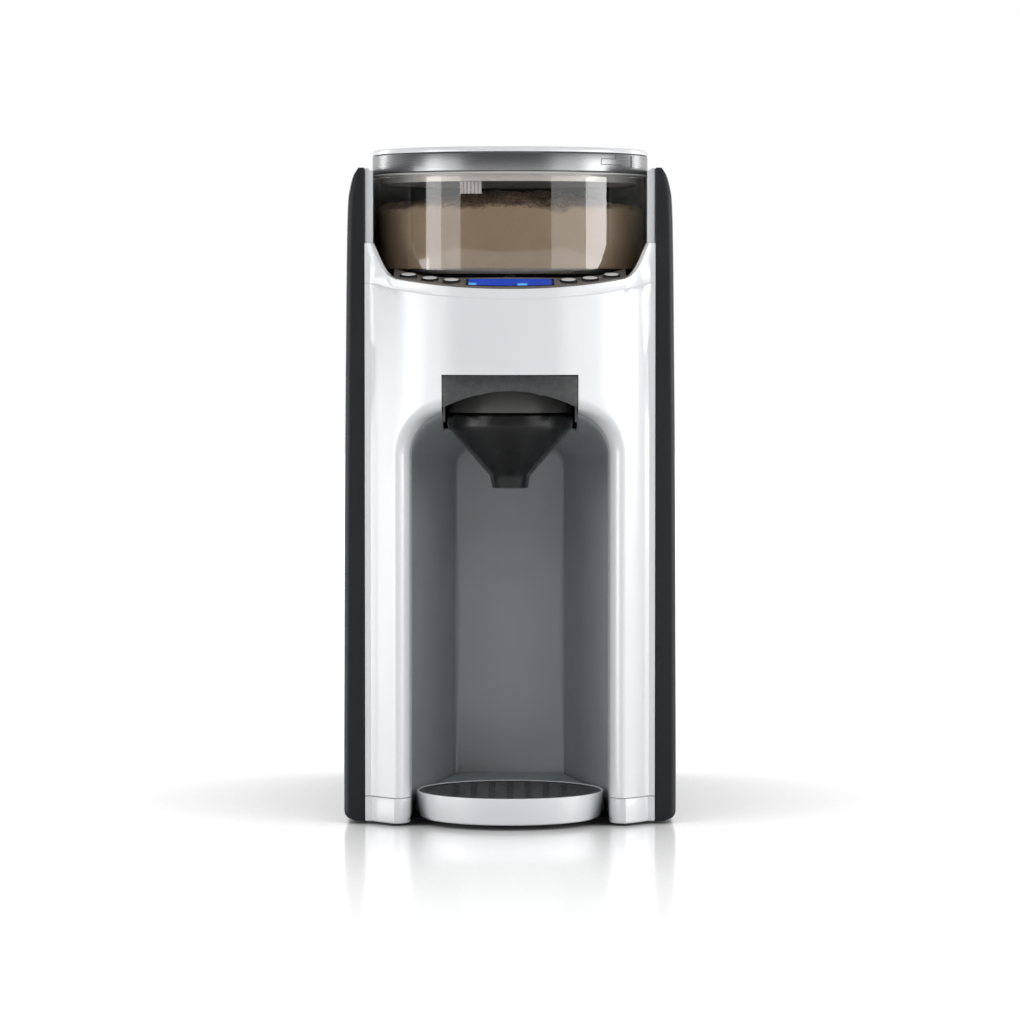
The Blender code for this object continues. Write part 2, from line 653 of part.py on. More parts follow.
def sheet(rows, facing, end_cap=False):
    """An open surface through rows of points, whose first face looks towards facing."""
    made = bmesh.new()
    grid = [[made.verts.new(point) for point in row] for row in rows]
    for upper, lower in zip(grid, grid[1:]):
        for index in range(len(upper) - 1):
            made.faces.new((upper[index], upper[index + 1], lower[index + 1], lower[index]))
    if end_cap:
        made.faces.new(grid[-1])
    made.normal_update()
    made.faces.ensure_lookup_table()
    if made.faces[0].normal.dot(Vector(facing)) < 0:
        bmesh.ops.reverse_faces(made, faces=made.faces)
    return made


def thicken(target, thickness):
    """Gives an open surface its wall, behind the side that its faces look to."""
    modifier = target.modifiers.new("wall", "SOLIDIFY")
    modifier.thickness = thickness
    modifier.offset = -1.0
    modifier.use_even_offset = True


def lip_end_y():
    """Where the shell's lip ends beside the pillars."""
    return front_y(ARCH_HALF_WIDTH + ARCH_FILLET) + ARCH_FILLET + LIP_DEPTH


def front_shell():
    """White front with the arch of the bottle bay, rounded into the bay."""
    foot = SEAM_Z + GAP
    outer = shell_outer_path(foot)
    start = arch_path(
        ARCH_HALF_WIDTH + ARCH_FILLET, ARCH_TOP_Z + ARCH_FILLET, ARCH_CORNER + ARCH_FILLET, foot
    )
    rows = []
    for step in range(SKIN_ROWS + 1):
        share = step / SKIN_ROWS
        row = []
        for (outer_x, outer_z), (start_x, start_z) in zip(outer, start):
            x = outer_x + (start_x - outer_x) * share
            row.append(Vector((x, front_y(x), outer_z + (start_z - outer_z) * share)))
        rows.append(row)
    for step in range(1, FILLET_STEPS + 1):
        angle = math.pi / 2 * step / FILLET_STEPS
        spread = ARCH_FILLET * (1 - math.sin(angle))
        depth = ARCH_FILLET * (1 - math.cos(angle))
        path = arch_path(ARCH_HALF_WIDTH + spread, ARCH_TOP_Z + spread, ARCH_CORNER + spread, foot)
        rows.append([Vector((x, front_y(start[k][0]) + depth, z)) for k, (x, z) in enumerate(path)])
    rows.append([point + Vector((0.0, LIP_DEPTH, 0.0)) for point in rows[-1]])
    shell = add_object("front_shell", sheet(rows, (0.0, -1.0, 0.0)), "white_gloss")
    thicken(shell, WALL)
    reach = COVER_HALF_WIDTH + GAP
    cut(shell, block((-reach, FRONT_Y - OVERRUN, ARCH_TOP_Z - OVERRUN),
                     (reach, FUNNEL_COVER_BACK_Y, COVER_TOP_Z + GAP)))


def bay_liner():
    """Grey inner wall of the bottle bay, drawn in towards its back."""
    start = arch_path(
        ARCH_HALF_WIDTH + ARCH_FILLET, ARCH_TOP_Z + ARCH_FILLET, ARCH_CORNER + ARCH_FILLET, BAY_FOOT_Z
    )
    mouth = arch_path(ARCH_HALF_WIDTH, ARCH_TOP_Z, ARCH_CORNER, BAY_FOOT_Z)
    depth = ARCH_FILLET + LIP_DEPTH + GAP
    rows = [[Vector((x, front_y(start[k][0]) + depth, z)) for k, (x, z) in enumerate(mouth)]]
    mid_share = (BAY_MID_Y - FRONT_Y) / (BAY_BACK_Y - FRONT_Y)
    mid_top = ARCH_TOP_Z + (BAY_BACK_TOP_Z - ARCH_TOP_Z) * mid_share
    middle = arch_path(BAY_MID_HALF_WIDTH, mid_top, BAY_MID_CORNER, BAY_FOOT_Z)
    rows.append([Vector((x, BAY_MID_Y, z)) for x, z in middle])
    back = arch_path(BAY_BACK_HALF_WIDTH, BAY_BACK_TOP_Z, BAY_BACK_CORNER, BAY_FOOT_Z)
    rows.append([Vector((x, BAY_BACK_Y, z)) for x, z in back])
    liner = add_object("bay_liner", sheet(rows, (1.0, 0.0, 0.0), end_cap=True), "bay_grey")
    thicken(liner, LINER_WALL)
    reach = COVER_HALF_WIDTH + GAP
    cut(liner, block((-reach, FRONT_Y, BAY_BACK_TOP_Z), (reach, FUNNEL_COVER_BACK_Y + GAP, COVER_TOP_Z)))


def side_section(half_width, inner_x, front, back, side):
    """Plan of a side panel at one height, its outer corners rounded."""
    corner = min(PANEL_CORNER, half_width - inner_x)
    points = [(inner_x, front)]
    points += arc_points((half_width - corner, front + corner), corner, -90.0, 0.0, PANEL_CORNER_STEPS)
    points += arc_points((half_width - corner, back - corner), corner, 0.0, 90.0, PANEL_CORNER_STEPS)
    points.append((inner_x, back))
    return [(side * x, y) for x, y in points]


def side_panels():
    """Two dark side shells, hollow on the side that faces the body."""
    height = BODY_TOP_Z - PANEL_BOTTOM_Z
    for name, side in (("side_panel_left", -1), ("side_panel_right", 1)):
        rings = []
        for height_share, bulge_share in PANEL_OUTLINE_SHARES:
            reach = PANEL_INNER_X + PANEL_BULGE * bulge_share
            outline = side_section(reach, PANEL_INNER_X, PANEL_FRONT_Y, BODY_BACK_Y, side)
            rings.append(level(outline, PANEL_BOTTOM_Z + height * height_share))
        panel = add_object(name, loft(rings), "charcoal_satin")
        rings = []
        for height_share, bulge_share in POCKET_OUTLINE_SHARES:
            reach = PANEL_INNER_X + PANEL_BULGE * bulge_share - WALL
            outline = side_section(
                reach, PANEL_INNER_X - OVERRUN, PANEL_FRONT_Y + WALL, BODY_BACK_Y - WALL, side
            )
            rings.append(level(outline, PANEL_BOTTOM_Z + height * height_share))
        cut(panel, loft(rings))


def side_plates():
    """Two white plates that stand on the base pan and carry the decks."""
    front = front_y(STRIP_INNER_X) + WALL + GAP
    for name, side in (("side_plate_left", -1), ("side_plate_right", 1)):
        low_x, high_x = sorted((side * PLATE_INNER_X, side * SHELL_HALF_WIDTH))
        plate = block((low_x, front, SEAM_Z + GAP), (high_x, BODY_BACK_Y, BODY_TOP_Z))
        add_object(name, plate, "white_gloss", smooth=False)


def rear_corner_points():
    """Right rear corner of the base and the tank, from the side to the back."""
    centre = (TANK_HALF_WIDTH - TANK_CORNER_RADIUS, REAR_Y - TANK_CORNER_RADIUS)
    return arc_points(centre, TANK_CORNER_RADIUS, 0.0, 90.0, CORNER_ARC_STEPS)


def foot_places():
    """(x, y) of the four feet."""
    return [(side * x, y) for side in (-1, 1)
            for x, y in ((FRONT_FOOT_X, FRONT_FOOT_Y), (REAR_FOOT_X, REAR_FOOT_Y))]


def base_pan():
    """White pan: two arms beside the bottle tray, joined behind the bay and widened under the tank."""
    clear = LINER_WALL + GAP
    nose_x = ARCH_HALF_WIDTH + ARCH_FILLET
    right = [
        (BAY_BACK_HALF_WIDTH + clear, BAY_BACK_Y + clear),
        (BAY_MID_HALF_WIDTH + clear, BAY_MID_Y),
        (ARCH_HALF_WIDTH + clear, lip_end_y()),
        (ARCH_HALF_WIDTH, lip_end_y()),
    ]
    centre = (nose_x, front_y(nose_x) + ARCH_FILLET)
    right += arc_points(centre, ARCH_FILLET, 180.0, 270.0, FILLET_STEPS)
    strip = STRIP_INNER_X - nose_x
    xs = [nose_x + strip * k / STRIP_STEPS for k in range(1, STRIP_STEPS + 1)]
    right += [(x, front_y(x)) for x in xs]
    right += [
        (SHELL_HALF_WIDTH, front_y(SHELL_HALF_WIDTH)),
        (SHELL_HALF_WIDTH, BODY_BACK_Y + GAP),
        (TANK_HALF_WIDTH, BODY_BACK_Y + GAP),
    ]
    right += rear_corner_points()
    pan = add_object("base_pan", open_box(mirrored(right), WALL, PAN_BOTTOM_Z, SEAM_Z, WALL), "white_gloss")
    holes = [
        turned([(FOOT_STEM_RADIUS + GAP, -OVERRUN), (FOOT_STEM_RADIUS + GAP, SEAM_Z)], place, SMALL_SEGMENTS)
        for place in foot_places()
    ]
    cut(pan, merge(holes))


def feet():
    """Four rubber feet, each snapped through the pan's floor."""
    floor = PAN_BOTTOM_Z + WALL
    profile = [
        (FOOT_RADIUS - GAP, 0.0),
        (FOOT_RADIUS, GAP),
        (FOOT_RADIUS, PAN_BOTTOM_Z - GAP),
        (FOOT_STEM_RADIUS, PAN_BOTTOM_Z - GAP),
        (FOOT_STEM_RADIUS, floor + GAP),
        (FOOT_BARB_RADIUS, floor + GAP),
        (FOOT_STEM_RADIUS, floor + GAP + FOOT_BARB_HEIGHT),
    ]
    names = ("foot_front_left", "foot_rear_left", "foot_front_right", "foot_rear_right")
    for name, place in zip(names, foot_places()):
        add_object(name, turned(profile, place, SMALL_SEGMENTS), "rubber_grey")


def rear_cover():
    """Plate that closes the body behind the works, with its screws."""
    low = (-DECK_HALF_WIDTH, BODY_BACK_Y - WALL, SEAM_Z + GAP)
    cover = add_object(
        "rear_cover", block(low, (DECK_HALF_WIDTH, BODY_BACK_Y, DECK_TOP_Z)), "charcoal_satin", smooth=False
    )
    holes = []
    head = BODY_BACK_Y + GAP
    for name, x in (("cover_screw_left", -COVER_SCREW_X), ("cover_screw_right", COVER_SCREW_X)):
        start, end = BODY_BACK_Y - OVERRUN, BODY_BACK_Y + OVERRUN
        holes.append(along_y(SCREW_RADIUS + GAP, x, COVER_SCREW_Z, start, end))
        screw = stepped_along_y(x, COVER_SCREW_Z, (
            (SCREW_RADIUS, head - SCREW_LENGTH), (SCREW_RADIUS, head),
            (SCREW_HEAD_RADIUS, head), (SCREW_HEAD_RADIUS, head + SCREW_HEAD_HEIGHT),
        ))
        add_object(name, screw, "steel")
    cut(cover, merge(holes))


def stepped_along_y(x, z, profile):
    """A body turned about a line along Y: profile holds (radius, y) pairs."""
    rings = []
    for radius, y in profile:
        ring = circle(radius, 0.0, segments=SMALL_SEGMENTS)
        rings.append([Vector((x + point.x, y, z + point.y)) for point in ring])
    return loft(rings)


def along_y(radius, x, z, start, end):
    """A cylinder along Y."""
    return stepped_along_y(x, z, ((radius, start), (radius, end)))


def along_x(radius, y, z, start, end):
    """A cylinder along X."""
    rings = []
    for x in (start, end):
        ring = circle(radius, 0.0, segments=SMALL_SEGMENTS)
        rings.append([Vector((x, y + point.x, z + point.y)) for point in ring])
    return loft(rings)


def crescent(half_width, outer_radius, inner_radius):
    """Plan of a crescent between the front arc and the hopper's circle."""
    xs = [half_width * (2 * k / CONTROL_STEPS - 1) for k in range(CONTROL_STEPS + 1)]
    outer = [(x, ARC_CENTRE_Y - math.sqrt(outer_radius ** 2 - x ** 2)) for x in xs]
    inner = [(x, HOPPER_Y - math.sqrt(inner_radius ** 2 - x ** 2)) for x in reversed(xs)]
    return outer + inner


def sloping_slab(outline, top_drop, bottom_drop):
    """The outline between two planes that lie below the control panel's slope."""
    return loft([
        level(outline, lambda x, y: deck_slope_z(y) - top_drop),
        level(outline, lambda x, y: deck_slope_z(y) - bottom_drop),
    ])


def button_places():
    """(name, x, y) of the six buttons, midway across the crescent."""
    places = []
    for side, side_name in ((-1, "left"), (1, "right")):
        for number in range(BUTTONS_PER_SIDE):
            x = side * (BUTTON_FIRST_X + BUTTON_PITCH * number)
            outer = ARC_CENTRE_Y - math.sqrt(CONTROL_OUTER_RADIUS ** 2 - x ** 2)
            inner = HOPPER_Y - math.sqrt(CONTROL_INNER_RADIUS ** 2 - x ** 2)
            places.append((f"button_{side_name}_{number + 1}", x, (outer + inner) / 2))
    return places


def oval(grow, height):
    """Oval ring of the buttons, grown all round and at one height in the button's own frame."""
    half_length = BUTTON_HALF_LENGTH + grow
    half_width = BUTTON_HALF_WIDTH + grow
    turn = 2 * math.pi / ROUND_SEGMENTS
    return [
        Vector((half_length * math.cos(turn * k), half_width * math.sin(turn * k), height))
        for k in range(ROUND_SEGMENTS)
    ]


def control_panel():
    """Sloping crescent with the display, six buttons and the board under them."""
    tilt = math.atan(PANEL_SLOPE_SHARE)
    outline = crescent(CONTROL_HALF_WIDTH, CONTROL_OUTER_RADIUS, CONTROL_INNER_RADIUS)
    panel = add_object("control_panel", sloping_slab(outline, 0.0, CONTROL_THICKNESS), "dark_housing")
    window = crescent(
        DISPLAY_HALF_WIDTH, CONTROL_OUTER_RADIUS - DISPLAY_MARGIN, CONTROL_INNER_RADIUS + DISPLAY_MARGIN
    )
    opening = crescent(
        DISPLAY_HALF_WIDTH + GAP, CONTROL_OUTER_RADIUS - DISPLAY_MARGIN + GAP,
        CONTROL_INNER_RADIUS + DISPLAY_MARGIN - GAP
    )
    cut(panel, sloping_slab(opening, -OVERRUN, CONTROL_THICKNESS + OVERRUN))
    add_object("display_window", sloping_slab(window, 0.0, DISPLAY_THICKNESS), "display_blue")
    turn = Euler((tilt, 0.0, 0.0)).to_matrix().to_4x4()
    openings = []
    under = CONTROL_THICKNESS + GAP
    for name, x, y in button_places():
        place = Vector((x, y, deck_slope_z(y)))
        opening = loft([oval(GAP, -CONTROL_THICKNESS - OVERRUN), oval(GAP, OVERRUN)])
        bmesh.ops.transform(opening, matrix=turn, verts=opening.verts)
        bmesh.ops.translate(opening, verts=opening.verts, vec=place)
        openings.append(opening)
        body = loft([
            oval(BUTTON_FLANGE, -under - BUTTON_FLANGE_HEIGHT), oval(BUTTON_FLANGE, -under),
            oval(0.0, -under), oval(0.0, BUTTON_RISE - BUTTON_EDGE), oval(-BUTTON_EDGE, BUTTON_RISE),
        ])
        button = add_object(name, body, "silver_trim")
        button.location = place
        button.rotation_euler = (tilt, 0.0, 0.0)
    cut(panel, merge(openings))
    drop = CONTROL_THICKNESS + BUTTON_FLANGE_HEIGHT + BUTTON_TRAVEL + BOARD_DROP
    board = crescent(BOARD_HALF_WIDTH, CONTROL_OUTER_RADIUS - GAP, CONTROL_INNER_RADIUS)
    slab = sloping_slab(board, drop, drop + BOARD_THICKNESS)
    add_object("control_board", slab, "board_green", smooth=False)


def wide_plate_outline(front):
    """Plan of a deck between the side plates, from the given front curve to the rear cover."""
    return front + [(DECK_HALF_WIDTH, DECK_BACK_Y), (-DECK_HALF_WIDTH, DECK_BACK_Y)]


def gear_plate():
    """Plate between the side plates that carries the motor, the gears, the chute and the nozzle."""
    xs = [DECK_HALF_WIDTH * (2 * k / PLATE_STEPS - 1) for k in range(PLATE_STEPS + 1)]
    front = [(x, ARC_CENTRE_Y - math.sqrt(CONTROL_OUTER_RADIUS ** 2 - x ** 2)) for x in xs]
    top = GEAR_PLATE_Z + GEAR_PLATE_THICKNESS
    body = prism(wide_plate_outline(front), GEAR_PLATE_Z, top)
    plate = add_object("gear_plate", body, "dark_housing", smooth=False)
    holes = (
        (CHUTE_RADIUS, 0.0, OUTLET_Y), (NOZZLE_RADIUS, NOZZLE_X, OUTLET_Y), (BUSH_RADIUS, 0.0, HOPPER_Y),
        (MOTOR_SHAFT_RADIUS + WALL, 0.0, MOTOR_Y), (HOSE_HOLE_RADIUS, HEATER_X, WORKS_Y),
    )
    cut(plate, merge([
        turned([(radius + GAP, GEAR_PLATE_Z - OVERRUN), (radius + GAP, top + OVERRUN)], (x, y))
        for radius, x, y in holes
    ]))
    bush = [
        (SHAFT_RADIUS + GAP, GEAR_PLATE_Z), (BUSH_RADIUS, GEAR_PLATE_Z), (BUSH_RADIUS, top + GAP),
        (BUSH_RADIUS + BUSH_FLANGE, top + GAP), (BUSH_RADIUS + BUSH_FLANGE, top + GAP + BUSH_FLANGE_HEIGHT),
        (SHAFT_RADIUS + GAP, top + GAP + BUSH_FLANGE_HEIGHT),
    ]
    add_object("lower_bush", turned(bush, (0.0, HOPPER_Y), SMALL_SEGMENTS, cyclic=True), "gear_white")


def toothed_outline(teeth, centre, first_angle):
    """Plan of a gear with straight-sided teeth, one of them centred on first_angle in radians."""
    pitch_radius = teeth * GEAR_MODULE / 2
    tip = pitch_radius + GEAR_MODULE * TOOTH_RISE_SHARE
    root = pitch_radius - GEAR_MODULE * TOOTH_DROP_SHARE
    pitch = 2 * math.pi / teeth
    corners = (
        (root, -TOOTH_ROOT_SHARE / 2), (tip, -TOOTH_TIP_SHARE / 2),
        (tip, TOOTH_TIP_SHARE / 2), (root, TOOTH_ROOT_SHARE / 2),
    )
    points = []
    for tooth in range(teeth):
        for radius, share in corners:
            angle = first_angle + pitch * (tooth + share)
            points.append((centre[0] + radius * math.cos(angle), centre[1] + radius * math.sin(angle)))
    return points


def drive_train():
    """Motor, pinion and the large gear whose square dog turns the wheels in the hopper."""
    axis = (0.0, HOPPER_Y)
    gear_top = GEAR_BOTTOM_Z + GEAR_HEIGHT
    gear = add_object(
        "drive_gear", prism(toothed_outline(DRIVE_TEETH, axis, math.pi / 2), GEAR_BOTTOM_Z, gear_top),
        "gear_white", origin=(0.0, HOPPER_Y, GEAR_BOTTOM_Z), smooth=False
    )
    fuse(gear, turned([(SHAFT_RADIUS, GEAR_PLATE_Z), (SHAFT_RADIUS, HOPPER_BOTTOM_Z - GAP)], axis))
    dog_low = (-DOG_HALF, HOPPER_Y - DOG_HALF, gear_top)
    fuse(gear, block(dog_low, (DOG_HALF, HOPPER_Y + DOG_HALF, HOPPER_BOTTOM_Z + DOG_RISE)))
    pinion_axis = (0.0, MOTOR_Y)
    outline = toothed_outline(PINION_TEETH, pinion_axis, math.pi / 2 + math.pi / PINION_TEETH)
    pinion = add_object(
        "motor_pinion", prism(outline, GEAR_BOTTOM_Z, gear_top), "steel",
        origin=(0.0, MOTOR_Y, GEAR_BOTTOM_Z), smooth=False
    )
    stem = [(MOTOR_SHAFT_RADIUS, GEAR_PLATE_Z), (MOTOR_SHAFT_RADIUS, gear_top - GEAR_MODULE)]
    fuse(pinion, turned(stem, pinion_axis, SMALL_SEGMENTS))
    motor_top = GEAR_PLATE_Z - GAP
    motor = [
        (MOTOR_RADIUS - MOTOR_EDGE, motor_top - MOTOR_HEIGHT),
        (MOTOR_RADIUS, motor_top - MOTOR_HEIGHT + MOTOR_EDGE),
        (MOTOR_RADIUS, motor_top - MOTOR_EDGE), (MOTOR_RADIUS - MOTOR_EDGE, motor_top),
    ]
    add_object("gear_motor", turned(motor, pinion_axis, FINE_SEGMENTS), "steel")


def hopper_deck():
    """Dark deck that the hopper stands on, with the upper bush and the powder chute."""
    front = arc_points((0.0, HOPPER_Y), DECK_HALF_WIDTH, 180.0, 360.0, FINE_SEGMENTS // 2)
    bottom = DECK_TOP_Z - DECK_THICKNESS
    deck = add_object("hopper_deck", prism(wide_plate_outline(front), bottom, DECK_TOP_Z), "dark_housing")
    holes = []
    for radius, y in ((CHUTE_RADIUS, OUTLET_Y), (BUSH_RADIUS, HOPPER_Y)):
        profile = [(radius + GAP, bottom - OVERRUN), (radius + GAP, DECK_TOP_Z + OVERRUN)]
        holes.append(turned(profile, (0.0, y)))
    cut(deck, merge(holes))
    bush = [
        (SHAFT_RADIUS + GAP, bottom - GAP - BUSH_FLANGE_HEIGHT),
        (BUSH_RADIUS + BUSH_FLANGE, bottom - GAP - BUSH_FLANGE_HEIGHT),
        (BUSH_RADIUS + BUSH_FLANGE, bottom - GAP),
        (BUSH_RADIUS, bottom - GAP), (BUSH_RADIUS, DECK_TOP_Z), (SHAFT_RADIUS + GAP, DECK_TOP_Z),
    ]
    add_object("upper_bush", turned(bush, (0.0, HOPPER_Y), SMALL_SEGMENTS, cyclic=True), "gear_white")
    bore = CHUTE_RADIUS - CHUTE_WALL
    chute = [
        (bore, CHUTE_BOTTOM_Z), (CHUTE_RADIUS, CHUTE_BOTTOM_Z),
        (CHUTE_RADIUS, DECK_TOP_Z), (bore, DECK_TOP_Z),
    ]
    add_object("powder_chute", turned(chute, (0.0, OUTLET_Y), cyclic=True), "gear_white")


def top_cover():
    """Dark cover behind the hopper, hollowed out as its cradle."""
    radius = HOPPER_RADIUS + CRADLE_GAP
    horn = math.degrees(math.asin((COVER_HORN_Y - HOPPER_Y) / radius))
    cradle = arc_points((0.0, HOPPER_Y), radius, 180.0 - horn, horn, FINE_SEGMENTS // 2)
    outline = cradle + [
        (DECK_HALF_WIDTH, COVER_HORN_Y), (DECK_HALF_WIDTH, BODY_BACK_Y),
        (-DECK_HALF_WIDTH, BODY_BACK_Y), (-DECK_HALF_WIDTH, COVER_HORN_Y),
    ]
    cover = open_box(outline, WALL, BODY_TOP_Z, DECK_TOP_Z + GAP, TOP_PLATE)
    add_object("top_cover", cover, "dark_housing")


def hopper_wall(radius, bottom, corner):
    """(radius, height) pairs of the hopper's rounded foot and its wall, from the floor up."""
    points = []
    for step in range(HOPPER_CORNER_STEPS + 1):
        angle = math.pi / 2 * step / HOPPER_CORNER_STEPS
        reach = radius - corner + corner * math.sin(angle)
        points.append((reach, bottom + corner - corner * math.cos(angle)))
    points.append((radius, HOPPER_RIM_Z))
    return points


def powder_container():
    """Clear round hopper with a hole for the drive dog and the powder outlet."""
    axis = (0.0, HOPPER_Y)
    origin = (0.0, HOPPER_Y, HOPPER_BOTTOM_Z)
    dog_hole = SHAFT_RADIUS + DOG_CLEARANCE
    outer = hopper_wall(HOPPER_RADIUS, HOPPER_BOTTOM_Z, HOPPER_CORNER)
    inner = hopper_wall(HOPPER_RADIUS - WALL, HOPPER_BOTTOM_Z + WALL, HOPPER_CORNER - WALL)
    profile = [(dog_hole, HOPPER_BOTTOM_Z)] + outer + inner[::-1] + [(dog_hole, HOPPER_BOTTOM_Z + WALL)]
    container = add_object(
        "powder_container", turned(profile, axis, HOPPER_SEGMENTS, cyclic=True), "smoke_clear", origin=origin
    )
    outlet = [(OUTLET_RADIUS, HOPPER_BOTTOM_Z - OVERRUN), (OUTLET_RADIUS, HOPPER_BOTTOM_Z + OVERRUN)]
    cut(container, turned(outlet, (0.0, OUTLET_Y)))


def powder_wheels():
    """Dosing wheel with its pockets, and the stirring wheel on its square socket."""
    axis = (0.0, HOPPER_Y)
    origin = (0.0, HOPPER_Y, FLOOR_Z)
    bore = STIRRER_HUB_RADIUS + GAP
    disc = [
        (bore, FLOOR_Z), (DOSING_RADIUS, FLOOR_Z), (DOSING_RADIUS, FLOOR_Z + DOSING_THICKNESS),
        (bore, FLOOR_Z + DOSING_THICKNESS),
    ]
    dosing = add_object(
        "dosing_wheel", turned(disc, axis, FINE_SEGMENTS, cyclic=True), "gear_white", origin=origin
    )
    pockets = []
    for number in range(DOSING_POCKETS):
        angle = 2 * math.pi * (number + 0.5) / DOSING_POCKETS
        place = (OUTLET_OFFSET * math.cos(angle), HOPPER_Y + OUTLET_OFFSET * math.sin(angle))
        profile = [(DOSING_POCKET_RADIUS, FLOOR_Z - OVERRUN), (DOSING_POCKET_RADIUS, FLOOR_Z + OVERRUN)]
        pockets.append(turned(profile, place))
    cut(dosing, merge(pockets))
    arm_top = STIRRER_ARM_Z + STIRRER_ARM_HEIGHT
    root = STIRRER_HUB_RADIUS + GAP
    outline = []
    for number in range(STIRRER_ARMS):
        middle = 2 * math.pi * number / STIRRER_ARMS
        spread_root = math.asin(STIRRER_ARM_HALF_WIDTH / root)
        spread_tip = math.asin(STIRRER_ARM_HALF_WIDTH / STIRRER_RADIUS)
        for radius, angle in (
            (root, middle - spread_root), (STIRRER_RADIUS, middle - spread_tip),
            (STIRRER_RADIUS, middle + spread_tip), (root, middle + spread_root),
        ):
            outline.append((radius * math.cos(angle), HOPPER_Y + radius * math.sin(angle)))
    stirrer = add_object(
        "stirring_wheel", prism(outline, STIRRER_ARM_Z, arm_top), "gear_white", origin=origin, smooth=False
    )
    fuse(stirrer, turned([(STIRRER_HUB_RADIUS, FLOOR_Z), (STIRRER_HUB_RADIUS, arm_top)], axis))
    reach = DOG_HALF + GAP
    cut(stirrer, block((-reach, HOPPER_Y - reach, FLOOR_Z - OVERRUN),
                       (reach, HOPPER_Y + reach, HOPPER_BOTTOM_Z + DOG_RISE + GAP)))


def powder_fill():
    """The powder: a mound over a hollow in which the wheels turn."""
    radius = HOPPER_RADIUS - WALL - GAP
    corner = HOPPER_CORNER - WALL - GAP
    centre_r = radius - corner
    centre_z = HOPPER_BOTTOM_Z + WALL + GAP + corner
    foot_r = centre_r + math.sqrt(corner ** 2 - (centre_z - POWDER_SKIRT_Z) ** 2)
    low = math.asin((foot_r - centre_r) / corner)
    profile = [(POWDER_SKIRT_RADIUS, POWDER_ROOF_Z), (POWDER_SKIRT_RADIUS, POWDER_SKIRT_Z)]
    for step in range(HOPPER_CORNER_STEPS):
        angle = low + (math.pi / 2 - low) * step / (HOPPER_CORNER_STEPS - 1)
        profile.append((centre_r + corner * math.sin(angle), centre_z - corner * math.cos(angle)))
    profile.append((radius, POWDER_EDGE_Z))
    for r_share, z_share in MOUND_SHARES:
        profile.append((radius * r_share, POWDER_EDGE_Z + POWDER_CROWN * z_share))
    profile.append((POWDER_TIP_RADIUS, POWDER_EDGE_Z + POWDER_CROWN))
    add_object(
        "powder_fill", turned(profile, (0.0, HOPPER_Y), HOPPER_SEGMENTS), "powder",
        origin=(0.0, HOPPER_Y, HOPPER_BOTTOM_Z)
    )


def lid():
    """Lid cap with its skirt and tab, the silver ring that turns round the skirt, and the seal below it."""
    axis = (0.0, HOPPER_Y)
    origin = (0.0, HOPPER_Y, HOPPER_RIM_Z)
    outer = HOPPER_RADIUS
    seal = [
        (outer - SEAL_WIDTH, SEAL_BOTTOM_Z), (outer, SEAL_BOTTOM_Z),
        (outer, SEAL_BOTTOM_Z + SEAL_HEIGHT), (outer - SEAL_WIDTH, SEAL_BOTTOM_Z + SEAL_HEIGHT),
    ]
    add_object("lid_seal", turned(seal, axis, HOPPER_SEGMENTS, cyclic=True), "hose_clear", origin=origin)
    ring = [(RING_BORE, RING_BOTTOM_Z), (outer, RING_BOTTOM_Z), (outer, RING_TOP_Z), (RING_BORE, RING_TOP_Z)]
    add_object("lid_ring", turned(ring, axis, HOPPER_SEGMENTS, cyclic=True), "silver_trim", origin=origin)
    skirt = RING_BORE - GAP
    cap = [
        (skirt - SKIRT_WALL, CAP_BOTTOM_Z), (skirt - SKIRT_WALL, SKIRT_BOTTOM_Z), (skirt, SKIRT_BOTTOM_Z),
        (skirt, CAP_BOTTOM_Z), (outer, CAP_BOTTOM_Z), (outer, CAP_TOP_Z - CAP_EDGE),
        (outer - CAP_EDGE / 2, CAP_TOP_Z - CAP_EDGE / 3), (outer - 2 * CAP_EDGE, CAP_TOP_Z),
    ]
    made = add_object("lid_cap", turned(cap, axis, HOPPER_SEGMENTS), "white_gloss", origin=origin)
    front = HOPPER_Y - math.sqrt((skirt - SKIRT_WALL / 2) ** 2 - TAB_LEFT_X ** 2)
    fuse(made, block((TAB_LEFT_X, front, TAB_BOTTOM_Z), (TAB_RIGHT_X, front + TAB_THICKNESS, RING_BOTTOM_Z)))


def cover_edge_z(x, y):
    """Height of the funnel cover's lower edge, arched in front of the outlet."""
    if y > OUTLET_Y:
        return COVER_EDGE_Z
    return COVER_EDGE_Z + COVER_ARCH_RISE * max(0.0, 1 - (x / COVER_HALF_WIDTH) ** 2)


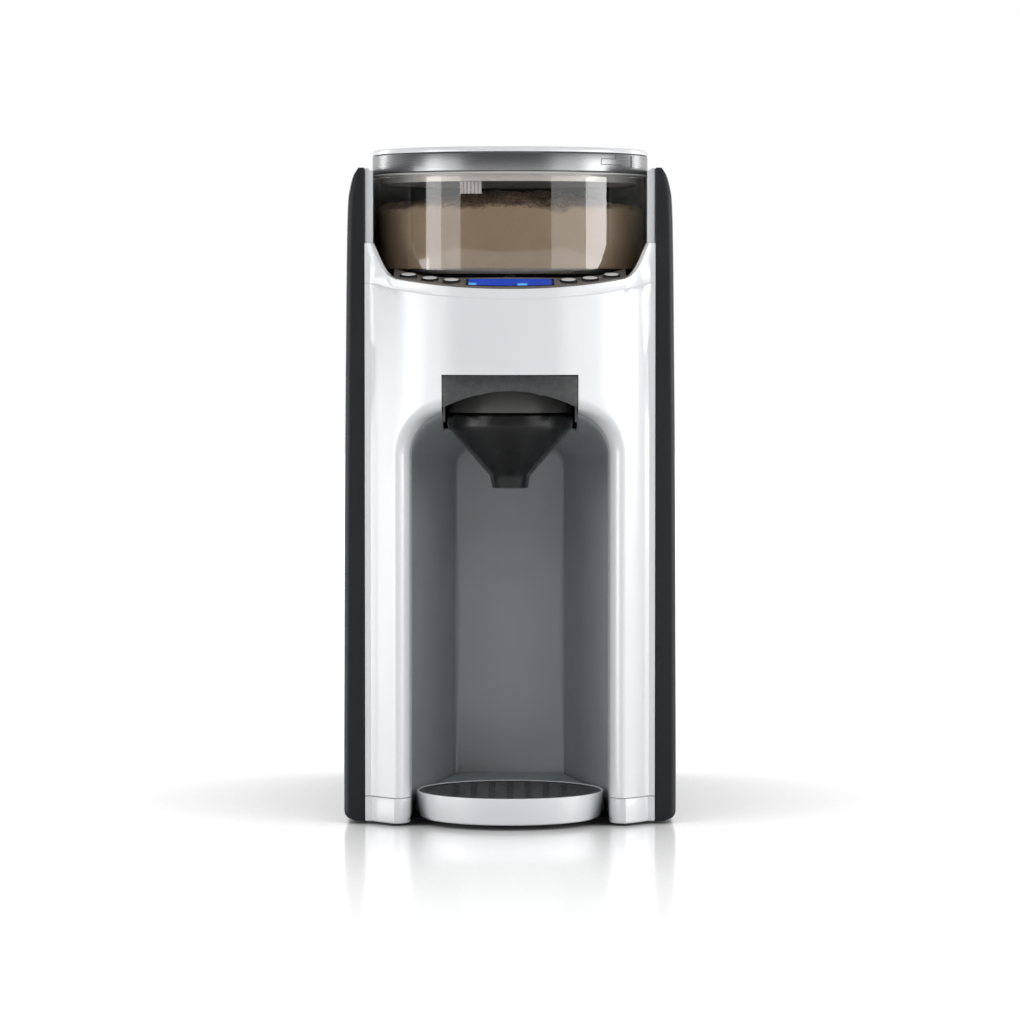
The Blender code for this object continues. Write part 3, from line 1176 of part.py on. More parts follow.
def funnel_drawer():
    """Dark funnel cover that slides out of the front, with the funnel hanging in it."""
    axis = (0.0, OUTLET_Y)
    xs = [COVER_HALF_WIDTH * (2 * k / COVER_STEPS - 1) for k in range(COVER_STEPS + 1)]
    outline = [(x, front_y(x) + COVER_FRONT_SETBACK) for x in xs]
    outline += [(COVER_HALF_WIDTH, FUNNEL_COVER_BACK_Y), (-COVER_HALF_WIDTH, FUNNEL_COVER_BACK_Y)]
    inner = inset(outline, COVER_WALL)
    rings = [
        level(outline, COVER_TOP_Z), level(outline, cover_edge_z), level(inner, cover_edge_z),
        level(inner, COVER_TOP_Z - COVER_WALL),
    ]
    cover = add_object("funnel_cover", loft(rings), "dark_housing", origin=(0.0, OUTLET_Y, COVER_TOP_Z))
    ears = []
    for side in (-1, 1):
        faces = (COVER_HALF_WIDTH - GAP, COVER_HALF_WIDTH - COVER_WALL + GAP)
        low_x, high_x = sorted(side * face for face in faces)
        front = front_y(COVER_HALF_WIDTH) + WALL
        top = COVER_EDGE_Z + OVERRUN
        ears.append(block((low_x, front, EAR_BOTTOM_Z), (high_x, front + EAR_LENGTH, top)))
    fuse(cover, merge(ears))
    low = COVER_TOP_Z - OVERRUN
    high = COVER_TOP_Z + OVERRUN
    cut(cover, merge([
        turned([(COVER_CHUTE_HOLE, low), (COVER_CHUTE_HOLE, high)], axis),
        turned([(NOZZLE_RADIUS, low), (NOZZLE_RADIUS, high)], (NOZZLE_X, OUTLET_Y), SMALL_SEGMENTS),
    ]))
    funnel = [
        (FUNNEL_RADIUS, FUNNEL_TOP_Z), (FUNNEL_RADIUS, FUNNEL_SHOULDER_Z),
        (FUNNEL_CONE_RADIUS, FUNNEL_CONE_Z),
        (SPOUT_RADIUS, SPOUT_BOTTOM_Z), (SPOUT_RADIUS - FUNNEL_WALL, SPOUT_BOTTOM_Z),
        (FUNNEL_CONE_RADIUS - FUNNEL_WALL, FUNNEL_CONE_Z + FUNNEL_WALL / 2),
        (FUNNEL_RADIUS - FUNNEL_WALL, FUNNEL_SHOULDER_Z + FUNNEL_WALL / 2),
        (FUNNEL_RADIUS - FUNNEL_WALL, FUNNEL_TOP_Z),
    ]
    add_object(
        "funnel", turned(funnel, axis, FINE_SEGMENTS, cyclic=True), "smoke_clear",
        origin=(0.0, OUTLET_Y, FUNNEL_TOP_Z)
    )
    tip_z = COVER_TOP_Z + CHUTE_GAP
    nozzle = [
        (NOZZLE_BORE, tip_z), (NOZZLE_TIP_RADIUS, tip_z), (NOZZLE_RADIUS, GEAR_PLATE_Z),
        (NOZZLE_RADIUS, NOZZLE_TOP_Z), (NOZZLE_BORE, NOZZLE_TOP_Z),
    ]
    add_object("spray_nozzle", turned(nozzle, (NOZZLE_X, OUTLET_Y), cyclic=True), "gear_white")


def bottle_tray():
    """Round drip tray, its slotted grille, and the grey carrier that guides it in the bay."""
    axis = (0.0, OUTLET_Y)
    origin = (0.0, OUTLET_Y, TRAY_BOTTOM_Z)
    ledge_radius = TRAY_RADIUS - TRAY_RIM - TRAY_LEDGE
    ledge_z = TRAY_TOP_Z - TRAY_LEDGE_DROP
    tray = [
        (TRAY_RADIUS - TRAY_FOOT_INSET, TRAY_BOTTOM_Z), (TRAY_RADIUS, TRAY_BOTTOM_Z + TRAY_FOOT_INSET),
        (TRAY_RADIUS, TRAY_TOP_Z - TRAY_EDGE), (TRAY_RADIUS - TRAY_EDGE, TRAY_TOP_Z),
        (TRAY_RADIUS - TRAY_RIM, TRAY_TOP_Z), (TRAY_RADIUS - TRAY_RIM, ledge_z), (ledge_radius, ledge_z),
        (ledge_radius, TRAY_BOTTOM_Z + WALL),
    ]
    add_object("bottle_tray", turned(tray, axis, GRILLE_SEGMENTS), "white_gloss", origin=origin)
    radius = TRAY_RADIUS - TRAY_RIM - GAP
    bottom = ledge_z + GAP
    disc = [(radius, bottom), (radius, bottom + GRILLE_THICKNESS)]
    grille = add_object(
        "drip_grille", turned(disc, axis, GRILLE_SEGMENTS), "grille_dark", origin=(0.0, OUTLET_Y, bottom)
    )
    slots = []
    for number in range(-SLOTS_PER_SIDE, SLOTS_PER_SIDE + 1):
        x = number * SLOT_PITCH
        reach = math.sqrt((radius - SLOT_MARGIN) ** 2 - x ** 2)
        slots.append(block(
            (x - SLOT_WIDTH / 2, OUTLET_Y - reach, bottom - OVERRUN),
            (x + SLOT_WIDTH / 2, OUTLET_Y + reach, bottom + OVERRUN),
        ))
    cut(grille, merge(slots))
    back = BAY_BACK_Y - CARRIER_GAP
    outline = arc_points(
        axis, TRAY_RADIUS + GAP, 180.0 - CARRIER_ARC_ANGLE, CARRIER_ARC_ANGLE, CARRIER_ARC_STEPS
    )
    outline += [
        (BAY_MID_HALF_WIDTH - CARRIER_GAP, BAY_MID_Y), (BAY_BACK_HALF_WIDTH - CARRIER_GAP, back),
        (-BAY_BACK_HALF_WIDTH + CARRIER_GAP, back), (-BAY_MID_HALF_WIDTH + CARRIER_GAP, BAY_MID_Y),
    ]
    carrier = open_box(outline, LINER_WALL, CARRIER_TOP_Z, TRAY_BOTTOM_Z, LINER_WALL)
    add_object("tray_carrier", carrier, "bay_grey", origin=origin)


def tank_outline():
    """Plan of the water tank, round at its rear corners."""
    centre = (TANK_HALF_WIDTH - TANK_FRONT_CORNER, TANK_FRONT_Y + TANK_FRONT_CORNER)
    right = arc_points(centre, TANK_FRONT_CORNER, -90.0, 0.0, PANEL_CORNER_STEPS) + rear_corner_points()
    return mirrored(right)


def tank_base():
    """Dark pedestal under the tank, with the power inlet in its back and the valve socket under its top."""
    right = [(TANK_HALF_WIDTH, BODY_BACK_Y + 2 * GAP)] + rear_corner_points()
    base = add_object(
        "tank_base", open_box(mirrored(right), WALL, TANK_SEAT_Z, SEAM_Z + GAP, WALL), "charcoal_satin"
    )
    hole = [(GASKET_HOLE, TANK_SEAT_Z - OVERRUN), (GASKET_HOLE, TANK_SEAT_Z + OVERRUN)]
    low = (INLET_X - INLET_HALF_WIDTH, REAR_Y - INLET_DEPTH, INLET_BOTTOM_Z)
    high = (INLET_X + INLET_HALF_WIDTH, REAR_Y, INLET_BOTTOM_Z + INLET_HEIGHT)
    window_high = (high[0] + GAP, REAR_Y + OVERRUN, high[2] + GAP)
    window = block((low[0] - GAP, low[1] - GAP, low[2] - GAP), window_high)
    cut(base, merge([turned(hole, (0.0, VALVE_Y)), window]))
    inlet = add_object("power_inlet", block(low, high), "dark_housing", smooth=False)
    mouth_low = (low[0] + INLET_WALL, REAR_Y - INLET_POCKET, low[2] + INLET_WALL)
    mouth_high = (high[0] - INLET_WALL, REAR_Y + OVERRUN, high[2] - INLET_WALL)
    cut(inlet, block(mouth_low, mouth_high))
    middle = INLET_BOTTOM_Z + INLET_HEIGHT / 2
    start = REAR_Y - INLET_POCKET - WALL
    end = REAR_Y - INLET_POCKET + INLET_PIN_LENGTH
    pins = [
        along_y(INLET_PIN_RADIUS, INLET_X + side * INLET_PIN_PITCH / 2, middle, start, end)
        for side in (-1, 1)
    ]
    fuse(inlet, merge(pins))
    top = TANK_SEAT_Z - WALL - GAP
    floor = top - SOCKET_DEPTH
    socket = [
        (SOCKET_BORE, top), (SOCKET_FLANGE, top), (SOCKET_FLANGE, top - SOCKET_FLANGE_HEIGHT),
        (SOCKET_RADIUS, top - SOCKET_FLANGE_HEIGHT), (SOCKET_RADIUS, floor), (SOCKET_NIPPLE, floor - WALL),
        (SOCKET_NIPPLE, SOCKET_NIPPLE_Z), (SOCKET_NIPPLE_BORE, SOCKET_NIPPLE_Z), (SOCKET_NIPPLE_BORE, floor),
        (SOCKET_BORE, floor + WALL),
    ]
    add_object("tank_socket", turned(socket, (0.0, VALVE_Y), cyclic=True), "gear_white")
    gasket = [
        (SPIGOT_RADIUS + GAP, top + GAP), (GASKET_HOLE - GAP, top + GAP), (GASKET_HOLE - GAP, TANK_SEAT_Z),
        (SPIGOT_RADIUS + GAP, TANK_SEAT_Z),
    ]
    add_object("tank_gasket", turned(gasket, (0.0, VALVE_Y), cyclic=True), "rubber_grey")


def water_tank():
    """Smoky tank with its valve, and the lid hinged between two ears."""
    bottom = TANK_SEAT_Z + GAP
    outline = tank_outline()
    tank = add_object(
        "water_tank", open_box(outline, WALL, bottom, TANK_TOP_Z, WALL), "smoke_clear",
        origin=(0.0, VALVE_Y, bottom)
    )
    additions = [turned([
        (SPIGOT_BORE, SPIGOT_BOTTOM_Z), (SPIGOT_RADIUS, SPIGOT_BOTTOM_Z), (SPIGOT_RADIUS, bottom + WALL / 2),
        (SPIGOT_BORE, bottom + WALL / 2),
    ], (0.0, VALVE_Y), cyclic=True)]
    for side in (-1, 1):
        low_x, high_x = sorted((side * TANK_HALF_WIDTH, side * (TANK_HALF_WIDTH - EAR_THICKNESS + GAP)))
        additions.append(block(
            (low_x, HINGE_Y - HINGE_EAR_HALF_LENGTH, TANK_TOP_Z - OVERRUN),
            (high_x, HINGE_Y + HINGE_EAR_HALF_LENGTH, TANK_TOP_Z + HINGE_EAR_HEIGHT),
        ))
    fuse(tank, merge(additions))
    bore = [(SPIGOT_BORE, SPIGOT_BOTTOM_Z - OVERRUN), (SPIGOT_BORE, bottom)]
    throat = [(VALVE_HOLE, bottom - WALL), (VALVE_HOLE, TANK_FLOOR_Z + OVERRUN)]
    cut(tank, merge([
        turned(throat, (0.0, VALVE_Y), SMALL_SEGMENTS),
        along_x(HINGE_HOLE_RADIUS, HINGE_Y, HINGE_Z, -TANK_HALF_WIDTH - OVERRUN, TANK_HALF_WIDTH + OVERRUN),
    ]))
    combine(tank, helper("water_tank_bore", turned(bore, (0.0, VALVE_Y))), "DIFFERENCE")
    hinge = (0.0, HINGE_Y, HINGE_Z)
    lid_low = TANK_TOP_Z + GAP
    half = TANK_HALF_WIDTH - TANK_LID_MARGIN
    corner = TANK_CORNER_RADIUS - TANK_LID_MARGIN
    back = REAR_Y - TANK_LID_MARGIN
    right = [(half, HINGE_Y - HINGE_RISE)]
    right += arc_points((half - corner, back - corner), corner, 0.0, 90.0, CORNER_ARC_STEPS)
    leaf = prism(mirrored(right), lid_low, lid_low + TANK_LID_THICKNESS)
    tank_lid = add_object("tank_lid", leaf, "charcoal_satin", origin=hinge)
    pins = []
    for side in (-1, 1):
        start, end = sorted((side * (half - HINGE_PIN_LENGTH), side * (half + HINGE_PIN_LENGTH)))
        pins.append(along_x(HINGE_PIN_RADIUS, HINGE_Y, HINGE_Z, start, end))
    fuse(tank_lid, merge(pins))
    head_z = TANK_FLOOR_Z + GAP
    plunger = [
        (VALVE_FOOT, VALVE_FOOT_Z), (VALVE_FOOT, VALVE_FOOT_Z + VALVE_FOOT_HEIGHT),
        (VALVE_STEM, VALVE_FOOT_Z + VALVE_FOOT_HEIGHT), (VALVE_STEM, head_z), (VALVE_HEAD, head_z),
        (VALVE_HEAD, head_z + VALVE_HEAD_HEIGHT / 2), (VALVE_STEM, head_z + VALVE_HEAD_HEIGHT),
    ]
    add_object(
        "tank_valve", turned(plunger, (0.0, VALVE_Y)), "rubber_grey", origin=(0.0, VALVE_Y, VALVE_FOOT_Z)
    )
    low = SPRING_BOTTOM_Z + VALVE_SPRING_WIRE
    rise = SPRING_TOP_Z - GAP - VALVE_SPRING_WIRE - low
    count = VALVE_SPRING_TURNS * VALVE_SPRING_POINTS
    coil = []
    for k in range(count + 1):
        angle = 2 * math.pi * k / VALVE_SPRING_POINTS
        coil.append((
            VALVE_SPRING_RADIUS * math.cos(angle), VALVE_Y + VALVE_SPRING_RADIUS * math.sin(angle),
            low + rise * k / count,
        ))
    tube("valve_spring", coil, VALVE_SPRING_WIRE, "steel", resolution=1)


def tube(name, points, radius, finish_name, resolution=2):
    """A round tube along the points, with closed ends."""
    curve = bpy.data.curves.new(name, "CURVE")
    curve.dimensions = "3D"
    curve.bevel_depth = radius
    curve.bevel_resolution = resolution
    curve.use_fill_caps = True
    spline = curve.splines.new("POLY")
    spline.points.add(len(points) - 1)
    for target, place in zip(spline.points, points):
        target.co = (*place, 1.0)
    curve.materials.append(finish(finish_name))
    made = bpy.data.objects.new(name, curve)
    bpy.context.collection.objects.link(made)
    return made


def smooth_route(points):
    """Points along a smooth curve through the given ones."""
    places = [Vector(point) for point in points]
    padded = [2 * places[0] - places[1]] + places + [2 * places[-1] - places[-2]]
    route = []
    for a, b, c, d in zip(padded, padded[1:], padded[2:], padded[3:]):
        for step in range(HOSE_STEPS):
            t = step / HOSE_STEPS
            route.append(0.5 * (
                2 * b + (c - a) * t + (2 * a - 5 * b + 4 * c - d) * t ** 2 + (3 * b - a - 3 * c + d) * t ** 3
            ))
    route.append(places[-1])
    return route


def moved(offsets, place):
    """The offsets, set off from the given place."""
    return [tuple(a + b for a, b in zip(place, offset)) for offset in offsets]


def pump_hose_route(pump_top):
    """Places of the hose from the pump's top to the port in the heater's side."""
    port = (HEATER_X - HEATER_RADIUS, WORKS_Y, HEATER_PORT_Z)
    return moved(PUMP_TOP_HOSE_OFFSETS, (PUMP_X, WORKS_Y, pump_top)) + moved(HEATER_PORT_HOSE_OFFSETS, port)


def heater_hose_route(heater_top):
    """Places of the hose from the heater's top to the nozzle."""
    rise = GEAR_PLATE_Z + HEATER_HOSE_RISE - heater_top
    route = [(HEATER_X, WORKS_Y, heater_top + rise * share) for share in HEATER_HOSE_SHARES]
    return route + moved(NOZZLE_HOSE_OFFSETS, (NOZZLE_X, OUTLET_Y, NOZZLE_TOP_Z))


def works():
    """Pump, heater, their hoses and the power board, in the room behind the bay."""
    floor = PAN_BOTTOM_Z + WALL + GAP
    pump = [
        (PUMP_RADIUS, floor), (PUMP_RADIUS, floor + PUMP_HEIGHT - PUMP_HEAD_HEIGHT),
        (PUMP_HEAD_RADIUS, floor + PUMP_HEIGHT - PUMP_HEAD_HEIGHT), (PUMP_HEAD_RADIUS, floor + PUMP_HEIGHT),
    ]
    add_object("water_pump", turned(pump, (PUMP_X, WORKS_Y)), "dark_housing")
    heater = [
        (HEATER_RADIUS - HEATER_EDGE, floor), (HEATER_RADIUS, floor + HEATER_EDGE),
        (HEATER_RADIUS, floor + HEATER_HEIGHT - HEATER_EDGE),
        (HEATER_RADIUS - HEATER_EDGE, floor + HEATER_HEIGHT),
    ]
    add_object("water_heater", turned(heater, (HEATER_X, WORKS_Y)), "steel")
    tube("tank_hose", smooth_route(INLET_HOSE_ROUTE), HOSE_RADIUS, "hose_clear")
    tube("pump_hose", smooth_route(pump_hose_route(floor + PUMP_HEIGHT)), HOSE_RADIUS, "hose_clear")
    route = heater_hose_route(floor + HEATER_HEIGHT + GAP)
    tube("heater_hose", smooth_route(route), HOSE_RADIUS, "hose_clear")
    board_low = (-DECK_HALF_WIDTH, WORKS_Y - POWER_BOARD_HALF_LENGTH, POWER_BOARD_BOTTOM_Z)
    board_high = (
        -DECK_HALF_WIDTH + BOARD_THICKNESS, WORKS_Y + POWER_BOARD_HALF_LENGTH,
        POWER_BOARD_BOTTOM_Z + POWER_BOARD_HEIGHT,
    )
    add_object("power_board", block(board_low, board_high), "board_green", smooth=False)


def build():
    """Clears the scene and makes every sub-part."""
    for item in list(bpy.data.objects):
        bpy.data.objects.remove(item, do_unlink=True)
    front_shell()
    bay_liner()
    side_panels()
    side_plates()
    base_pan()
    feet()
    rear_cover()
    control_panel()
    gear_plate()
    drive_train()
    hopper_deck()
    top_cover()
    powder_container()
    powder_wheels()
    powder_fill()
    lid()
    funnel_drawer()
    bottle_tray()
    tank_base()
    water_tank()
    works()


build()
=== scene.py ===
"""The look of a baby formula maker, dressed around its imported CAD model.

Each sub-assembly is a class with its own sizes. It builds its meshes in the model's frame, gives them their
finishes and sets them on the bodies that they move with. All lengths are in metres, with +Z up and the front
at -Y.
"""

import logging
import math
from collections.abc import Callable, Sequence
from dataclasses import dataclass, field
from enum import Enum

import bmesh
import bpy
from mathutils import Euler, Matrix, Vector, noise


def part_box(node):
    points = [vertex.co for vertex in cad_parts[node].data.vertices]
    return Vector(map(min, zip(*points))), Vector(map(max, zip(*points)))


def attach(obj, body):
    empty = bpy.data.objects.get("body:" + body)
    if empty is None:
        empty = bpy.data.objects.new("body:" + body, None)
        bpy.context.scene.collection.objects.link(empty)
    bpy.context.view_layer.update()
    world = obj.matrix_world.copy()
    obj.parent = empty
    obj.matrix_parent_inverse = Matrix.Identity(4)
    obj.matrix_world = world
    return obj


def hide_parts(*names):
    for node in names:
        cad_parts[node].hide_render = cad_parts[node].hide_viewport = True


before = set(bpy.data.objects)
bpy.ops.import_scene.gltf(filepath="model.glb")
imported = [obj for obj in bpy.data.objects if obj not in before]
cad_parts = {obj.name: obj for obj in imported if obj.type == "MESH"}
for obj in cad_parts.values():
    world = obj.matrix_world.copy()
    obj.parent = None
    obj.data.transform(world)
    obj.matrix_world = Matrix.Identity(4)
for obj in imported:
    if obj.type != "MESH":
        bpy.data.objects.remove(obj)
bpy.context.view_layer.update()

MM = 0.001
LOG = logging.getLogger("formula_maker")

Flat = tuple[float, float]
Colour = tuple[float, float, float]
Outline = Sequence[Flat]
Form = bmesh.types.BMesh
Thing = bpy.types.Object
Height = float | Callable[[float, float], float]
Socket = bpy.types.NodeSocket
Sockets = bpy.types.NodeInputs | bpy.types.NodeOutputs
Inputs = dict[str | int, object]
Fill = Callable[["Tree", Sockets], Inputs]


# Choices


class Side(Enum):
    """The two flanks of the machine, with the sign of X on each."""

    LEFT = -1
    RIGHT = 1


class Axis(Enum):
    """The direction that an upright outline is drawn along."""

    X = "x"
    Y = "y"


class Grain(Enum):
    """Surface textures of moulded plastic, as (cells per metre, bump strength)."""

    POLISHED = (260.0, 0.035)
    SATIN = (2400.0, 0.07)
    SPARK = (3300.0, 0.18)


# Outlines and forms


def rounded(corners: Sequence[Sequence[float]], closed: bool = False, steps: int = 4) -> list[Flat]:
    """Turns corners into arcs.

    Args:
        corners: (a, b, radius) of each corner in order.
        closed: Whether the last corner joins the first.
        steps: Segments of each arc.

    Returns:
        The points of the rounded line.
    """
    count = len(corners)
    points: list[Flat] = []
    for index, (a, b, radius) in enumerate(corners):
        if radius <= 0 or (not closed and index in (0, count - 1)):
            points.append((a, b))
            continue
        here = Vector((a, b))
        before = Vector(corners[index - 1][:2]) - here
        after = Vector(corners[(index + 1) % count][:2]) - here
        half = before.angle(after) / 2
        reach = min(radius / math.tan(half), before.length / 2, after.length / 2)
        radius = reach * math.tan(half)
        middle = here + (before.normalized() + after.normalized()).normalized() * (radius / math.sin(half))
        first = here + before.normalized() * reach - middle
        last = here + after.normalized() * reach - middle
        turn = first.angle_signed(last)
        start = math.atan2(first.y, first.x)
        for step in range(steps + 1):
            angle = start - turn * step / steps
            points.append((middle.x + radius * math.cos(angle), middle.y + radius * math.sin(angle)))
    return points


def rectangle(low: Flat, high: Flat, radii: Sequence[float], steps: int = 4) -> list[Flat]:
    """Makes a rounded rectangle.

    Args:
        low: Its low corner, where it starts.
        high: The corner opposite.
        radii: Radius of each corner in order, or one for all four.
        steps: Segments of each arc.

    Returns:
        Its closed outline.
    """
    first, second, third, fourth = tuple(radii) * (4 // len(radii))
    (a, b), (c, d) = low, high
    return rounded([(a, b, first), (c, b, second), (c, d, third), (a, d, fourth)], True, steps)


def arc(centre: Flat, radius: float, start: float, end: float, steps: int) -> list[Flat]:
    """Points along an arc.

    Args:
        centre: Its middle.
        radius: Its radius.
        start: First angle in degrees.
        end: Last angle in degrees.
        steps: Number of segments.

    Returns:
        The points, both ends included.
    """
    angles = [math.radians(start + (end - start) * k / steps) for k in range(steps + 1)]
    return [(centre[0] + radius * math.cos(a), centre[1] + radius * math.sin(a)) for a in angles]


def mirrored(right_half: Outline) -> list[Flat]:
    """The right half of an outline and its mirror image as one closed outline."""
    return list(right_half) + [(-x, y) for x, y in reversed(right_half)]


def shrunk(outline: Outline, distance: float) -> list[Flat]:
    """Moves a closed outline inwards.

    Args:
        outline: Points in order, either way round.
        distance: How far each side moves in.

    Returns:
        The inner outline, point for point.
    """
    ring = list(outline)
    area = sum(a[0] * b[1] - b[0] * a[1] for a, b in zip(ring, ring[1:] + ring[:1]))
    side = 1 if area > 0 else -1
    moved: list[Flat] = []
    for before, here, after in zip(ring[-1:] + ring[:-1], ring, ring[1:] + ring[:1]):
        first = Vector((here[0] - before[0], here[1] - before[1])).normalized()
        second = Vector((after[0] - here[0], after[1] - here[1])).normalized()
        normal_a = Vector((-first.y, first.x)) * side
        normal_b = Vector((-second.y, second.x)) * side
        mitre = (normal_a + normal_b) / (1 + normal_a.dot(normal_b))
        moved.append((here[0] + mitre.x * distance, here[1] + mitre.y * distance))
    return moved


def level(outline: Outline, height: Height) -> list[Vector]:
    """The outline's points at one height, or at a height worked out for each point."""
    if callable(height):
        return [Vector((x, y, height(x, y))) for x, y in outline]
    return [Vector((x, y, height)) for x, y in outline]


def standing(outline: Outline, axis: Axis, place: float) -> list[Vector]:
    """The outline's points, upright, at one place along an axis."""
    return [Vector((place, a, b) if axis is Axis.X else (a, place, b)) for a, b in outline]


def bridge(made: Form, rows: Sequence[list[bmesh.types.BMVert]], cyclic: bool) -> None:
    """Joins rings of vertices in order, and the last to the first where it is cyclic."""
    pairs = list(zip(rows, rows[1:])) + ([(rows[-1], rows[0])] if cyclic else [])
    for lower, upper in pairs:
        for corners in zip(lower, lower[1:] + lower[:1], upper[1:] + upper[:1], upper):
            made.faces.new(dict.fromkeys(corners))


def skin(rings: Sequence[Sequence[Vector]]) -> Form:
    """Makes a closed form through rings of equal counts.

    Args:
        rings: The rings in order.

    Returns:
        The form, its faces looking out.
    """
    made = bmesh.new()
    rows = [[made.verts.new(point) for point in ring] for ring in rings]
    made.faces.new(rows[0])
    made.faces.new(rows[-1])
    bridge(made, rows, cyclic=False)
    bmesh.ops.recalc_face_normals(made, faces=made.faces)
    return made


def upright(outline: Outline, axis: Axis, stations: Sequence[Flat]) -> Form:
    """Makes a form through upright copies of an outline.

    Args:
        outline: Its (y, z) points along X, or its (x, z) points along Y.
        axis: Which of the two.
        stations: Place and inset of each copy.

    Returns:
        The form.
    """
    return skin([
        standing(shrunk(outline, inset) if inset else outline, axis, place) for place, inset in stations
    ])


def stack(outline: Outline, stations: Sequence[tuple[float, Height]]) -> Form:
    """A form through level copies of an outline, given the inset and the height of each."""
    return skin([level(shrunk(outline, inset), height) for inset, height in stations])


def open_sheet(rows: Sequence[Sequence[Vector]], facing: Sequence[float], end_cap: bool = False) -> Form:
    """Makes an open surface through rows of points.

    Args:
        rows: The rows in order.
        facing: A direction that the first face looks to.
        end_cap: Closes the last row with one face.

    Returns:
        The surface.
    """
    made = bmesh.new()
    grid = [[made.verts.new(point) for point in row] for row in rows]
    for upper, lower in zip(grid, grid[1:]):
        for k in range(len(upper) - 1):
            made.faces.new((upper[k], upper[k + 1], lower[k + 1], lower[k]))
    if end_cap:
        made.faces.new(grid[-1])
    made.normal_update()
    made.faces.ensure_lookup_table()
    if made.faces[0].normal.dot(Vector(facing)) < 0:
        bmesh.ops.reverse_faces(made, faces=made.faces)
    return made


def turned(profile: Outline, centre: Flat, segments: int = 128, cyclic: bool = False) -> Form:
    """Turns a profile about a vertical line.

    Args:
        profile: (radius, height) pairs. A radius of zero at an end closes the form in a point.
        centre: Where the line stands.
        segments: Steps round the line.
        cyclic: Joins the profile's ends, for a ring with a hole.

    Returns:
        The form.
    """
    made = bmesh.new()
    turn = 2 * math.pi / segments
    circle = [(math.cos(turn * k), math.sin(turn * k)) for k in range(segments)]
    rows = []
    for radius, height in profile:
        if radius <= 0:
            rows.append([made.verts.new((centre[0], centre[1], height))] * segments)
        else:
            ring = [(centre[0] + radius * x, centre[1] + radius * y, height) for x, y in circle]
            rows.append([made.verts.new(point) for point in ring])
    bridge(made, rows, cyclic)
    if not cyclic:
        for row, (radius, _) in ((rows[0], profile[0]), (rows[-1], profile[-1])):
            if radius > 0:
                made.faces.new(row)
    bmesh.ops.recalc_face_normals(made, faces=made.faces)
    return made


def rod(radius: float, low: float, high: float, centre: Flat, segments: int) -> Form:
    """A plain upright rod, for cuts."""
    return turned(((radius, low), (radius, high)), centre, segments)


def plate(outline: Outline, low: float, high: float, edge: float, steps: int = 3) -> Form:
    """Makes a solid plate with rounded upper and lower edges.

    Args:
        outline: Its plan.
        low: Height of its underside.
        high: Height of its upper side.
        edge: Radius of the rounding.
        steps: Segments of the rounding.

    Returns:
        The form.
    """
    angles = [math.pi / 2 * step / steps for step in range(steps + 1)]
    trims = [(edge * (1 - math.cos(angle)), edge * (1 - math.sin(angle))) for angle in angles]
    lower = [(inset, low + lift) for inset, lift in reversed(trims)]
    return stack(outline, lower + [(inset, high - lift) for inset, lift in trims])


def cup(outline: Outline, wall: float, closed_z: float, open_z: float, edge: float, lip: float = 0.0) -> Form:
    """Makes a thin-walled box of an outline, closed at one height and open at the other.

    Args:
        outline: Its plan.
        wall: Thickness of walls and floor.
        closed_z: Height of the closed end.
        open_z: Height of the open end.
        edge: Radius where the walls meet the closed end.
        lip: Rounding of the open rim.

    Returns:
        The form.
    """
    rise = math.copysign(1.0, open_z - closed_z)
    steps = 5
    angles = [math.pi / 2 * step / steps for step in range(steps + 1)]
    stations = [(edge * (1 - math.sin(a)), closed_z + rise * edge * (1 - math.cos(a))) for a in angles]
    rim = ((0.0, lip), (lip / 3, lip / 3), (lip, 0.0)) if lip > 0 else ((0.0, 0.0),)
    stations += [(inset, open_z - rise * drop) for inset, drop in rim]
    stations += [(wall - inset, open_z - rise * drop) for inset, drop in reversed(rim)]
    stations += [
        (wall, closed_z + rise * max(edge, 2 * wall)), (wall + edge / 3, closed_z + rise * (wall + edge / 6)),
        (wall + edge, closed_z + rise * wall),
    ]
    return stack(outline, stations)


def block(low: Sequence[float], high: Sequence[float]) -> Form:
    """A plain box between two corners, for cuts."""
    plan = rectangle((low[0], low[1]), (high[0], high[1]), (0.0,))
    return skin([level(plan, low[2]), level(plan, high[2])])


def merged(forms: Sequence[Form]) -> Form:
    """Puts forms together without joining them.

    Args:
        forms: The forms, which are used up.

    Returns:
        One form that holds them all.
    """
    whole = bmesh.new()
    for form in forms:
        mesh = bpy.data.meshes.new("passing")
        form.to_mesh(mesh)
        form.free()
        whole.from_mesh(mesh)
        bpy.data.meshes.remove(mesh)
    return whole


def score(
    form: Form, point: Sequence[float], normal: Sequence[float], width: float, push: Sequence[float]
) -> None:
    """Presses a fine straight groove into a form.

    Args:
        form: The form to press.
        point: A point of the plane that the groove lies in.
        normal: That plane's normal.
        width: Width of the groove.
        push: How far and which way the middle of the groove moves.
    """
    across = Vector(normal).normalized()
    for offset in (-width / 2, width / 2, 0.0):
        cut = bmesh.ops.bisect_plane(
            form, geom=form.verts[:] + form.edges[:] + form.faces[:],
            plane_co=Vector(point) + across * offset, plane_no=across, dist=1e-7,
        )
    for item in cut["geom_cut"]:
        if isinstance(item, bmesh.types.BMVert):
            item.co += Vector(push)


# Shader groups


